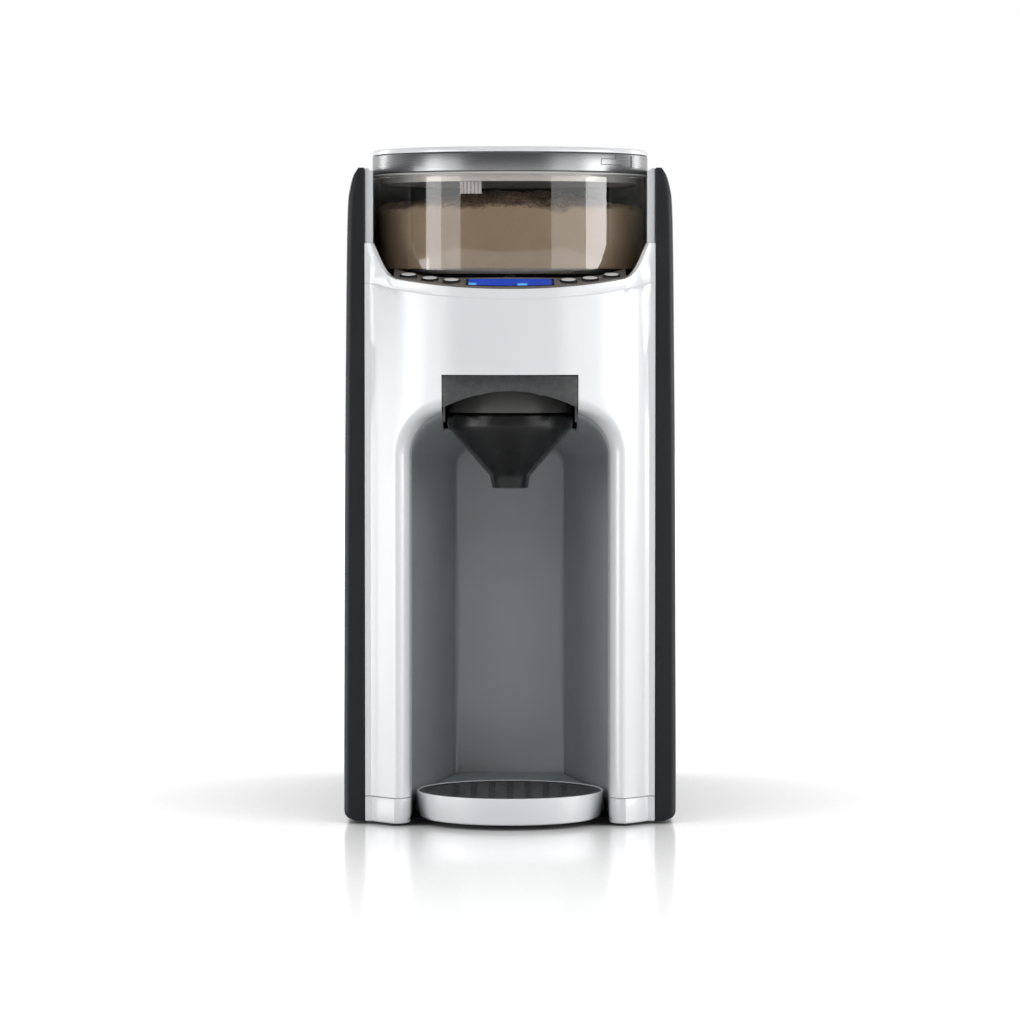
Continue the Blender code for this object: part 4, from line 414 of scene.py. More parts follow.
class Tree:
    """A node tree that is filled one node at a time."""

    def __init__(self, tree: bpy.types.NodeTree) -> None:
        """Keeps the tree."""
        self.tree = tree

    def add(self, kind: str, inputs: Inputs | None = None, **settings: object) -> bpy.types.Node:
        """Adds a node.

        Args:
            kind: The node's type, without its ShaderNode start.
            inputs: For each input's name or number, a socket to link or a plain value.
            settings: The node's own settings.

        Returns:
            The node.
        """
        node = self.tree.nodes.new("ShaderNode" + kind)
        for name, value in settings.items():
            setattr(node, name, value)
        self.feed(node, inputs or {})
        return node

    def feed(self, node: bpy.types.Node, inputs: Inputs) -> None:
        """Fills inputs of a node.

        Args:
            node: The node.
            inputs: For each input's name or number, a socket to link or a plain value.
        """
        for key, value in inputs.items():
            if isinstance(value, bpy.types.NodeSocket):
                self.tree.links.new(value, node.inputs[key])
            else:
                node.inputs[key].default_value = value

    def show(self, shader: bpy.types.Node) -> None:
        """Makes a shader the material's surface."""
        self.feed(self.tree.nodes["Material Output"], {"Surface": shader.outputs[0]})

    def math(self, operation: str, first: object, second: object = 0.0, clamp: bool = False) -> Socket:
        """The result of a Math node on two sockets or values."""
        return self.add("Math", {0: first, 1: second}, operation=operation, use_clamp=clamp).outputs[0]

    def blend(self, share: object, first: object, second: object) -> Socket:
        """The colour of a Mix node between two colours."""
        return self.add("Mix", {0: share, 6: first, 7: second}, data_type="RGBA").outputs[2]

    def ramp(self, value: object, low: float, high: float) -> Socket:
        """A value stretched from low..high to 0..1 and clamped."""
        return self.add("MapRange", {"Value": value, "From Min": low, "From Max": high}).outputs[0]

    def place(self) -> Socket:
        """Where each point lies in its object's own space."""
        return self.add("TexCoord").outputs["Object"]

    def noise(
        self, scale: object, detail: float = 2.0, roughness: float = 0.5, place: Socket | None = None
    ) -> Socket:
        """Adds a noise.

        Args:
            scale: Its scale.
            detail: How many finer noises are laid over it.
            roughness: How strong those are.
            place: Where it is looked up, by default in the object's own space.

        Returns:
            Its value.
        """
        inputs = {"Vector": place or self.place(), "Scale": scale, "Detail": detail, "Roughness": roughness}
        return self.add("TexNoise", inputs).outputs[0]

    def bump(self, height: Socket, strength: float, distance: float) -> Socket:
        """The normal of a surface that a height bumps."""
        return self.add("Bump", {"Strength": strength, "Distance": distance, "Height": height}).outputs[0]


def opaque(colour: object) -> object:
    """A colour with full alpha. A socket stays as it is."""
    return (*colour, 1.0) if isinstance(colour, tuple) else colour


def socket_type(name: str) -> str:
    """The type of a group's input or output, which its name tells."""
    return "NodeSocketColor" if "Colour" in name else "NodeSocketFloat"


@dataclass
class Effects:
    """The shader groups that several finishes share, each built once."""

    made: dict[str, bpy.types.NodeTree] = field(default_factory=dict)

    def group(self, tree: Tree, name: str, inputs: Inputs, fill: Fill) -> bpy.types.Node:
        """Puts a group into a material, and builds the group where it is new.

        Args:
            tree: The material's tree.
            name: The group's name.
            inputs: For each input's name, a socket or a value.
            fill: Fills the group's tree from its inputs and gives its outputs by name.

        Returns:
            The group's node.
        """
        if name not in self.made:
            made = bpy.data.node_groups.new(name, "ShaderNodeTree")
            for key in inputs:
                made.interface.new_socket(key, in_out="INPUT", socket_type=socket_type(key))
            results = fill(Tree(made), made.nodes.new("NodeGroupInput").outputs)
            for key in results:
                made.interface.new_socket(key, in_out="OUTPUT", socket_type=socket_type(key))
            Tree(made).feed(made.nodes.new("NodeGroupOutput"), results)
            self.made[name] = made
        return tree.add("Group", inputs, node_tree=self.made[name])

    def grain(self, tree: Tree, scale: float) -> Socket:
        """Fine moulded grain: two noises laid over each other.

        Args:
            tree: The material's tree.
            scale: How fine it is, in cells per metre.

        Returns:
            Its height.
        """
        def fill(inner: Tree, given: Sockets) -> Inputs:
            """Fills the group."""
            fine = inner.noise(given["Scale"], 2.0, 0.6)
            where = {"Vector": inner.place(), "Scale": given["Scale"]}
            pits = inner.add("TexVoronoi", where, feature="SMOOTH_F1").outputs[0]
            return {"Height": inner.math("ADD", fine, inner.math("MULTIPLY", pits, 0.6))}
        return self.group(tree, "moulded_grain", {"Scale": scale}, fill).outputs["Height"]

    def drift(self, tree: Tree, colour: object, other: Colour, amount: float, scale: float) -> Sockets:
        """Slow change of tone over a surface.

        Args:
            tree: The material's tree.
            colour: The tone.
            other: The tone that it drifts to.
            amount: How far it drifts.
            scale: How fast it drifts.

        Returns:
            The Colour and the Mask.
        """
        def fill(inner: Tree, given: Sockets) -> Inputs:
            """Fills the group."""
            mask = inner.ramp(inner.noise(given["Scale"], 3.0, 0.55), 0.3, 0.7)
            share = inner.math("MULTIPLY", mask, given["Amount"])
            return {"Colour": inner.blend(share, given["Colour"], given["Other Colour"]), "Mask": mask}
        inputs = {"Colour": opaque(colour), "Other Colour": opaque(other), "Amount": amount, "Scale": scale}
        return self.group(tree, "tone_drift", inputs, fill).outputs

    def edge_wear_and_highlight(self, tree: Tree, colour: Socket, edge: Colour, amount: float) -> Socket:
        """Pointy edges lightened, partly by rubbing and partly as a painted edge highlight.

        Args:
            tree: The material's tree.
            colour: The colour under the lightening.
            edge: The colour of the lightened edges.
            amount: How strongly they are lightened.

        Returns:
            The colour.
        """
        def fill(inner: Tree, given: Sockets) -> Inputs:
            """Fills the group."""
            # Pointy edges are lightened: partly rubbed, partly a painted edge highlight.
            lightened_edges = inner.ramp(inner.add("NewGeometry").outputs["Pointiness"], 0.515, 0.57)
            patchy = inner.math("MULTIPLY", lightened_edges, inner.ramp(inner.noise(420.0, 3.0), 0.35, 0.6))
            mask = inner.math("MULTIPLY", patchy, given["Amount"], clamp=True)
            return {"Colour": inner.blend(mask, given["Colour"], given["Edge Colour"])}
        inputs = {"Colour": colour, "Edge Colour": opaque(edge), "Amount": amount}
        return self.group(tree, "edge_wear_and_highlight", inputs, fill).outputs["Colour"]

    def dust(self, tree: Tree, colour: Socket, amount: float) -> Sockets:
        """Dust that settles on what looks up.

        Args:
            tree: The material's tree.
            colour: The colour under the dust.
            amount: How dusty it is.

        Returns:
            The Colour and the Mask.
        """
        def fill(inner: Tree, given: Sockets) -> Inputs:
            """Fills the group."""
            normal = inner.add("NewGeometry").outputs["Normal"]
            up = inner.ramp(inner.add("SeparateXYZ", {0: normal}).outputs[2], 0.55, 1.0)
            mask = inner.math("MULTIPLY", up, inner.ramp(inner.noise(900.0, 4.0, 0.7), 0.45, 0.75))
            share = inner.math("MULTIPLY", mask, given["Amount"], clamp=True)
            return {"Colour": inner.blend(share, given["Colour"], given["Dust Colour"]), "Mask": share}
        inputs = {"Colour": colour, "Dust Colour": opaque((0.5, 0.48, 0.45)), "Amount": amount}
        return self.group(tree, "settled_dust", inputs, fill).outputs


EFFECTS = Effects()


# Finishes


@dataclass(frozen=True)
class Finish:
    """A named material that is built once."""

    name: str

    def make(self) -> bpy.types.Material:
        """Builds the material, or finds it.

        Returns:
            The material.
        """
        known = bpy.data.materials.get(f"look_{self.name}")
        if known:
            return known
        material = bpy.data.materials.new(f"look_{self.name}")
        material.use_nodes = True
        self.fill(Tree(material.node_tree), material.node_tree.nodes["Principled BSDF"])
        return material

    def fill(self, tree: Tree, shader: bpy.types.Node) -> None:
        """Fills the material's tree round its Principled shader."""
        raise NotImplementedError


@dataclass(frozen=True)
class Plastic(Finish):
    """Moulded plastic: grain, a slow change of tone, edges lightened by rubbing and a painted highlight, a
    little dust.
    """

    colour: Colour
    shade: Colour
    roughness: float
    grain: Grain = Grain.SATIN
    # The edge colour lightens pointy edges: partly rubbing, partly a painted edge highlight.
    edge: Colour = (0.5, 0.5, 0.5)
    wear_and_highlight: float = 0.15
    dust: float = 0.08
    coat: float = 0.0
    specular: float = 0.5

    def fill(self, tree: Tree, shader: bpy.types.Node) -> None:
        """Fills the material's tree.

        Args:
            tree: The material's tree.
            shader: Its Principled shader.
        """
        tone = EFFECTS.drift(tree, self.colour, self.shade, 0.8, 24.0)
        # Lightens pointy edges, partly as rubbing and partly as a painted edge highlight.
        lightened_edges = EFFECTS.edge_wear_and_highlight(tree, tone["Colour"], self.edge, self.wear_and_highlight)
        dusty = EFFECTS.dust(tree, lightened_edges, self.dust)
        uneven = tree.math("MULTIPLY", tone["Mask"], 0.12 * self.roughness)
        grey = tree.math("MULTIPLY", dusty["Mask"], 0.5)
        scale, strength = self.grain.value
        tree.feed(shader, {
            "Base Color": dusty["Colour"],
            "Roughness": tree.math("ADD", tree.math("ADD", uneven, grey), self.roughness),
            "Normal": tree.bump(EFFECTS.grain(tree, scale), strength, 0.1 * MM),
            "Coat Weight": self.coat, "Coat Roughness": 0.2, "Specular IOR Level": self.specular,
        })


@dataclass(frozen=True)
class Metal(Finish):
    """Metal or metal-coloured trim, drawn in fine streaks along X and Y."""

    colour: Colour
    shade: Colour
    roughness: float
    metallic: float = 1.0
    streak: float = 0.15

    def fill(self, tree: Tree, shader: bpy.types.Node) -> None:
        """Fills the material's tree.

        Args:
            tree: The material's tree.
            shader: Its Principled shader.
        """
        drawn = tree.add("Mapping", {0: tree.place(), "Scale": (14.0, 14.0, 5200.0)}).outputs[0]
        lines = tree.noise(1.0, 3.0, 0.6, drawn)
        tone = EFFECTS.drift(tree, self.colour, self.shade, 0.6, 30.0)
        spread = tree.math("MULTIPLY", lines, self.streak)
        # The trim's edges go back to its lighter colour: partly rubbing, partly a painted edge highlight.
        tree.feed(shader, {
            "Base Color": EFFECTS.edge_wear_and_highlight(tree, tone["Colour"], self.colour, 0.4),
            "Roughness": tree.math("ADD", spread, self.roughness - self.streak / 2),
            "Normal": tree.bump(lines, 0.06, 0.05 * MM), "Metallic": self.metallic,
        })


@dataclass(frozen=True)
class Clear(Finish):
    """Tinted clear plastic: a thin tinted film under a gloss, with faint smears on it."""

    tint: Colour
    roughness: float = 0.03
    ior: float = 1.45
    gloss: float = 1.7

    def fill(self, tree: Tree, shader: bpy.types.Node) -> None:
        """Fills the material's tree.

        Args:
            tree: The material's tree.
            shader: Its Principled shader.
        """
        smears = EFFECTS.drift(tree, (0.98, 0.98, 0.98), (0.86, 0.86, 0.86), 0.7, 34.0)
        haze = tree.math("MULTIPLY", smears["Mask"], 0.03)
        tree.feed(shader, {
            "Base Color": smears["Colour"], "Roughness": tree.math("ADD", haze, self.roughness),
            "Normal": tree.bump(EFFECTS.grain(tree, 160.0), 0.008, 0.1 * MM), "Metallic": 1.0,
        })
        passing = tree.add("BsdfTransparent", {"Color": opaque(self.tint)})
        facing = tree.add("Fresnel", {"IOR": self.ior}).outputs[0]
        outer = tree.math("SUBTRACT", 1.0, tree.add("NewGeometry").outputs["Backfacing"])
        share = tree.math("MULTIPLY", tree.math("MULTIPLY", facing, self.gloss), outer, clamp=True)
        tree.show(tree.add("MixShader", {0: share, 1: passing.outputs[0], 2: shader.outputs[0]}))


@dataclass(frozen=True)
class Granules(Finish):
    """Fine powder: mottled cream with small grains, and ragged darker clumps above an edge, whose darker tone
    is painted shade on the heap's top under the lid.
    """

    colour: Colour = (0.46, 0.37, 0.275)
    shade: Colour = (0.38, 0.30, 0.215)
    # Both darker tones of the clumps are painted shade on the heap's top under the lid.
    loose: Colour = (0.21, 0.165, 0.115)
    shaded_crumb: Colour = (0.42, 0.33, 0.24)
    edge_z: float = 303.6 * MM
    wander: float = 7.0 * MM

    def fill(self, tree: Tree, shader: bpy.types.Node) -> None:
        """Fills the material's tree.

        Args:
            tree: The material's tree.
            shader: Its Principled shader.
        """
        tone = EFFECTS.drift(tree, self.colour, self.shade, 0.5, 60.0)
        specks = EFFECTS.drift(tree, tone["Colour"], self.shade, 0.35, 1400.0)
        ragged = tree.math("MULTIPLY", tree.noise(160.0, 4.0, 0.7), self.wander)
        height = tree.math("ADD", tree.add("SeparateXYZ", {0: tree.place()}).outputs[2], ragged)
        edge = self.edge_z + self.wander / 2
        # Above a ragged edge the powder turns darker: painted shade on the heap's top under the lid.
        above = tree.ramp(height, edge, edge + 0.8 * MM)
        crumbs = tree.ramp(tree.noise(900.0), 0.42, 0.6)
        shaded_heap_colour = tree.blend(crumbs, opaque(self.loose), opaque(self.shaded_crumb))
        tree.feed(shader, {
            "Base Color": tree.blend(above, specks["Colour"], shaded_heap_colour),
            "Roughness": tree.math("ADD", tree.math("MULTIPLY", specks["Mask"], 0.1), 0.86),
            "Normal": tree.bump(EFFECTS.grain(tree, 1100.0), 0.6, 0.4 * MM), "Specular IOR Level": 0.2,
        })


@dataclass(frozen=True)
class LitDisplay(Finish):
    """Dark glass over a blue lit field with small pale bars."""

    outer_centre_y: float
    inner_centre_y: float
    outer_radius: float
    inner_radius: float
    half_width: float
    soft: float = 0.5 * MM
    bars: tuple[Flat, ...] = ((-18.5 * MM, 2.0 * MM), (6.0 * MM, 2.3 * MM))
    bar_setback: float = 4.0 * MM
    glow: Colour = (0.006, 0.04, 0.40)
    cloud: Colour = (0.03, 0.09, 0.55)
    bar_glow: Colour = (0.12, 0.5, 0.9)

    def fill(self, tree: Tree, shader: bpy.types.Node) -> None:
        """Fills the material's tree.

        Args:
            tree: The material's tree.
            shader: Its Principled shader.
        """
        x, y, _ = tree.add("SeparateXYZ", {0: tree.place()}).outputs

        def away(centre_y: float) -> Socket:
            """Distance from a vertical line on the middle plane."""
            dy = tree.math("SUBTRACT", y, centre_y)
            squares = (tree.math("MULTIPLY", part, part) for part in (x, dy))
            return tree.math("SQRT", tree.math("ADD", *squares))

        outside = tree.ramp(away(self.outer_centre_y), self.outer_radius, self.outer_radius - self.soft)
        inside = tree.ramp(away(self.inner_centre_y), self.inner_radius, self.inner_radius + self.soft)
        ends = tree.ramp(tree.math("ABSOLUTE", x), self.half_width, self.half_width - self.soft)
        lit = tree.math("MULTIPLY", tree.math("MULTIPLY", outside, inside), ends)
        spans = []
        for centre, half in self.bars:
            gap = tree.math("ABSOLUTE", tree.math("SUBTRACT", x, centre))
            spans.append(tree.ramp(gap, half + self.soft, half - self.soft))
        middle = (self.outer_radius + self.inner_radius) / 2 + self.bar_setback
        off = tree.math("ABSOLUTE", tree.math("SUBTRACT", away(self.outer_centre_y), middle))
        bars = tree.math("MULTIPLY", tree.math("MAXIMUM", *spans), tree.ramp(off, 2.2 * MM, 1.2 * MM))
        shine = tree.blend(bars, opaque(self.glow), opaque(self.bar_glow))
        shine = tree.blend(tree.math("MULTIPLY", tree.noise(90.0), 0.4), shine, opaque(self.cloud))
        glass = EFFECTS.drift(tree, (0.006, 0.007, 0.012), (0.012, 0.013, 0.02), 0.5, 120.0)
        tree.feed(shader, {
            "Base Color": glass["Colour"], "Roughness": 0.12, "Specular IOR Level": 0.15,
            "Emission Color": tree.blend(lit, opaque((0.0, 0.0, 0.0)), shine), "Emission Strength": 1.0,
        })


@dataclass(frozen=True)
class Ground(Finish):
    """Pale gloss floor, white to the eye but for the shadow under what stands on it, partly painted into its
    glow.
    """

    colour: Colour = (0.46, 0.46, 0.463)
    shade: Colour = (0.44, 0.44, 0.443)
    glow: float = 0.74
    bright_from: float = 0.45
    bright_at: float = 1.0
    shadow_reach: float = 0.35
    shadow_power: float = 2.2

    def fill(self, tree: Tree, shader: bpy.types.Node) -> None:
        """Fills the material's tree.

        Args:
            tree: The material's tree.
            shader: Its Principled shader.
        """
        tone = EFFECTS.drift(tree, self.colour, self.shade, 0.5, 2.0)
        tree.feed(shader, {"Base Color": tone["Colour"], "Roughness": 0.15, "Specular IOR Level": 0.4})
        path = tree.add("LightPath").outputs
        seen = tree.math("ADD", path["Is Camera Ray"], path["Is Glossy Ray"], clamp=True)
        # The glow dims where ambient occlusion finds things close by: a painted shadow under what stands on
        # the floor.
        open_air = tree.add("AmbientOcclusion", {"Distance": self.shadow_reach}, samples=12).outputs["AO"]
        clear = tree.math("POWER", open_air, self.shadow_power)
        # The glow reaches full strength only away from the middle: a painted shade round the machine.
        away = tree.add("VectorMath", {0: tree.place()}, operation="LENGTH").outputs["Value"]
        far = tree.math("MULTIPLY", tree.ramp(away, self.bright_from, self.bright_at), 1.0 - self.glow)
        strength = tree.math("MULTIPLY", tree.math("MULTIPLY", seen, clear), tree.math("ADD", far, self.glow))
        glow = tree.add("Emission", {"Color": (1.0, 1.0, 1.0, 1.0), "Strength": strength})
        tree.show(tree.add("AddShader", {0: shader.outputs[0], 1: glow.outputs[0]}))


class Palette:
    """The finishes of the machine."""

    WHITE = Plastic(
        "white_gloss", (0.79, 0.80, 0.82), (0.76, 0.77, 0.795), 0.3, Grain.POLISHED, edge=(0.9, 0.9, 0.92),
        wear_and_highlight=0.1, dust=0.05, coat=1.0,
    )
    CHARCOAL = Plastic(
        "charcoal_satin", (0.010, 0.011, 0.0135), (0.0135, 0.0145, 0.017), 0.4, Grain.SPARK,
        edge=(0.07, 0.07, 0.075), dust=0.02, specular=0.3,
    )
    LINER = Plastic(
        "bay_grey", (0.44, 0.465, 0.48), (0.41, 0.435, 0.45), 0.42, edge=(0.5, 0.51, 0.52), wear_and_highlight=0.2
    )
    HOUSING = Plastic(
        "dark_housing", (0.03, 0.031, 0.033), (0.036, 0.037, 0.039), 0.36, edge=(0.16, 0.16, 0.16), wear_and_highlight=0.25,
        dust=0.06,
    )
    COLLAR = Plastic("funnel_collar", (0.06, 0.06, 0.058), (0.07, 0.07, 0.067), 0.42, edge=(0.16, 0.16, 0.15))
    GRILLE = Plastic(
        "grille_dark", (0.028, 0.03, 0.034), (0.036, 0.038, 0.043), 0.36, edge=(0.14, 0.14, 0.15), wear_and_highlight=0.4,
        dust=0.12,
    )
    # Dark gloss lightened to a warm taupe, a painted reflection of the powder in the panel.
    DECK_AND_REFLECTION = Plastic(
        "deck_gloss_and_reflection", (0.15, 0.141, 0.133), (0.165, 0.156, 0.147), 0.2, Grain.POLISHED,
        edge=(0.2, 0.19, 0.18), wear_and_highlight=0.2, specular=0.7,
    )
    GEAR = Plastic("gear_white", (0.7, 0.69, 0.64), (0.64, 0.63, 0.58), 0.45, edge=(0.8, 0.8, 0.78))
    RUBBER = Plastic(
        "rubber_grey", (0.05, 0.05, 0.05), (0.07, 0.07, 0.07), 0.75, Grain.SPARK, edge=(0.12, 0.12, 0.12)
    )
    BOARD = Plastic("board_green", (0.02, 0.16, 0.06), (0.01, 0.1, 0.04), 0.4, edge=(0.4, 0.4, 0.2))
    HOSE = Plastic("hose_clear", (0.62, 0.62, 0.6), (0.55, 0.55, 0.53), 0.3, edge=(0.7, 0.7, 0.7))
    SEAL = Plastic("seal_pale", (0.5, 0.5, 0.5), (0.44, 0.44, 0.44), 0.4, edge=(0.6, 0.6, 0.6))
    # Near-black: the real marks on the ring, and painted shade on the front of each button.
    MARK_AND_SHADE = Plastic(
        "dark_mark_and_shade", (0.006, 0.006, 0.007), (0.009, 0.009, 0.01), 0.45, edge=(0.03, 0.03, 0.03), wear_and_highlight=0.1,
        dust=0.0, specular=0.15,
    )
    SILVER = Metal("silver_trim", (0.22, 0.222, 0.226), (0.19, 0.192, 0.196), 0.28, metallic=0.8)
    # Pale silver of the button caps, bright enough to paint each button's top highlight.
    CHROME_AND_HIGHLIGHT = Metal("button_chrome_and_highlight", (0.88, 0.88, 0.89), (0.84, 0.84, 0.85), 0.24, metallic=0.25, streak=0.06)
    STEEL = Metal("steel", (0.55, 0.55, 0.57), (0.48, 0.48, 0.5), 0.3)
    HOPPER = Clear("smoke_clear", (0.90, 0.885, 0.865))
    FUNNEL = Clear("smoke_funnel", (0.44, 0.445, 0.445), roughness=0.3, gloss=0.9)
    TANK = Clear("smoke_tank", (0.72, 0.745, 0.755), roughness=0.05)


# Placing pieces


def smooth(mesh: bpy.types.Mesh, crease: float) -> None:
    """Shades a mesh smooth but for edges sharper than an angle in degrees."""
    mesh.shade_smooth()
    mesh.set_sharp_from_angle(angle=math.radians(crease))


def fresh(name: str, form: Form, finish: Finish | None, crease: float = 32.0) -> Thing:
    """Makes an object of a form.

    Args:
        name: The object's name.
        form: Its shape, which is used up.
        finish: Its finish.
        crease: Edges sharper than this angle in degrees stay sharp.

    Returns:
        The object.
    """
    mesh = bpy.data.meshes.new(name)
    form.to_mesh(mesh)
    form.free()
    if finish:
        mesh.materials.append(finish.make())
    smooth(mesh, crease)
    made = bpy.data.objects.new(name, mesh)
    bpy.context.scene.collection.objects.link(made)
    return made


def modify(thing: Thing, kind: str, **settings: object) -> None:
    """Adds a modifier to an object and applies it.

    Args:
        thing: The object.
        kind: The modifier's type.
        settings: The modifier's own settings.
    """
    modifier = thing.modifiers.new("step", kind)
    for name, value in settings.items():
        setattr(modifier, name, value)
    graph = bpy.context.evaluated_depsgraph_get()
    mesh = bpy.data.meshes.new_from_object(thing.evaluated_get(graph))
    old = thing.data
    thing.modifiers.clear()
    thing.data = mesh
    mesh.name = thing.name
    bpy.data.meshes.remove(old)


def thicken(thing: Thing, wall: float) -> None:
    """Gives an open surface its wall, behind the side that its faces look to."""
    modify(thing, "SOLIDIFY", thickness=wall, offset=-1.0, use_even_offset=True)


def carve(thing: Thing, tool: Form, operation: str = "DIFFERENCE") -> None:
    """Cuts a form out of an object, or joins it on.

    Args:
        thing: The object.
        tool: The form, which is used up.
        operation: Which Boolean operation it is.
    """
    helper = fresh(thing.name + "_tool", tool, None)
    modify(thing, "BOOLEAN", operation=operation, object=helper, solver="EXACT", use_self=True)
    mesh = helper.data
    bpy.data.objects.remove(helper)
    bpy.data.meshes.remove(mesh)


def soften(thing: Thing, width: float, sharper: float = 48.0, crease: float = 32.0) -> None:
    """Rounds the sharp edges of an object.

    Args:
        thing: The object.
        width: Width of the rounding.
        sharper: Only edges sharper than this angle in degrees are rounded.
        crease: Edges sharper than this angle stay sharp in the shading.
    """
    limits = {"limit_method": "ANGLE", "angle_limit": math.radians(sharper), "use_clamp_overlap": True}
    modify(thing, "BEVEL", width=width, segments=2, **limits)
    smooth(thing.data, crease)


def enlist(thing: Thing, body: str, slot: str, *nodes: str) -> None:
    """Sets a finished piece in the frame.

    Args:
        thing: The piece.
        body: The body that it moves with.
        slot: The name of a material slot; not used.
        nodes: The CAD nodes that it stands for.
    """
    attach(thing, body)
    if nodes:
        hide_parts(*nodes)
    LOG.info("piece %s on body %s", thing.name, body)


def piece(name: str, form: Form, finish: Finish, home: Sequence[str], crease: float = 32.0) -> None:
    """Makes an object of a form and sets it in the frame.

    Args:
        name: The object's name.
        form: Its shape, which is used up.
        finish: Its finish.
        home: Its body, its material slot and the CAD nodes that it stands for.
        crease: Edges sharper than this angle in degrees stay sharp.
    """
    enlist(fresh(name, form, finish, crease), *home)


def dress(finish: Finish, *nodes: str) -> None:
    """Gives CAD nodes that stay their finish."""
    for node in nodes:
        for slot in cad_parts[node].material_slots:
            slot.material = finish.make()
        LOG.info("finish %s on node %s", finish.name, node)


# The plan that the sub-assemblies share


@dataclass(frozen=True)
class Plan:
    """Sizes of the body that several sub-assemblies are built to."""

    front_y: float = -145.0 * MM
    rear_y: float = 145.0 * MM
    arc_radius: float = 86.0 * MM
    strip_x: float = 68.0 * MM
    half_width: float = 71.5 * MM
    back_y: float = 80.7 * MM
    top_z: float = 323.5 * MM
    seam_z: float = 13.7 * MM
    pan_z: float = 1.2 * MM
    wall: float = 2.2 * MM
    gap: float = 0.3 * MM
    hopper_y: float = -61.0 * MM
    outlet_y: float = -98.5 * MM
    slope: float = 0.24
    top_edge: float = 263.7 * MM
    sweep_x: float = 54.0 * MM
    sweep_power: float = 3.0
    sweep_top: float = 286.5 * MM
    arch_half: float = 49.0 * MM
    arch_top: float = 204.0 * MM
    arch_corner: float = 22.0 * MM
    fillet: float = 8.0 * MM
    cover_half: float = 33.0 * MM
    cover_top: float = 221.8 * MM
    cover_back_y: float = -65.6 * MM

    @property
    def arc_y(self) -> float:
        """Where the middle of the front's arc lies."""
        return self.front_y + self.arc_radius

    def face_y(self, x: float) -> float:
        """Where the front surface lies at a given x."""
        reach = min(abs(x), self.strip_x)
        return self.arc_y - math.sqrt(self.arc_radius ** 2 - reach ** 2)

    def slope_z(self, y: float) -> float:
        """Height of the control panel's plane."""
        return self.top_edge + self.slope * (y - self.front_y)

    def edge_z(self, x: float) -> float:
        """Height of the front shell's upper edge, which sweeps up beside the hopper."""
        plane = self.slope_z(self.face_y(x))
        share = min(1.0, max(0.0, abs(x) - self.sweep_x) / (self.strip_x - self.sweep_x))
        return plane + (self.sweep_top - plane) * share ** self.sweep_power

    def arch(self, half: float, top: float, corner: float, foot: float, steps: Sequence[int]) -> list[Flat]:
        """Points of the bay's arch.

        Args:
            half: Its half width.
            top: Its height.
            corner: Radius of its upper corners.
            foot: Height of its feet.
            steps: Segments of a pillar, a corner and half the top.

        Returns:
            (x, z) points from the left foot to the right foot.
        """
        spring = top - corner
        left = [(-half, foot + (spring - foot) * k / steps[0]) for k in range(steps[0] + 1)]
        for k in range(1, steps[1] + 1):
            angle = math.pi / 2 * k / steps[1]
            left.append((-half + corner - corner * math.cos(angle), spring + corner * math.sin(angle)))
        flat = half - corner
        left += [(-flat + flat * k / steps[2], top) for k in range(1, steps[2])]
        return left + [(0.0, top)] + [(-x, z) for x, z in reversed(left)]

    def mouth(self, foot: float, steps: Sequence[int], spread: float = 0.0) -> list[Flat]:
        """The bay's arch in the front, or one that lies a spread outside it."""
        half, top, corner = (size + spread for size in (self.arch_half, self.arch_top, self.arch_corner))
        return self.arch(half, top, corner, foot, steps)

    def rear_corner(self, half: float, back: float, radius: float, steps: int = 12) -> list[Flat]:
        """Right rear corner of the base or the tank, from the side to the back."""
        return arc((half - radius, back - radius), radius, 0.0, 90.0, steps)


PLAN = Plan()


# Sub-assemblies


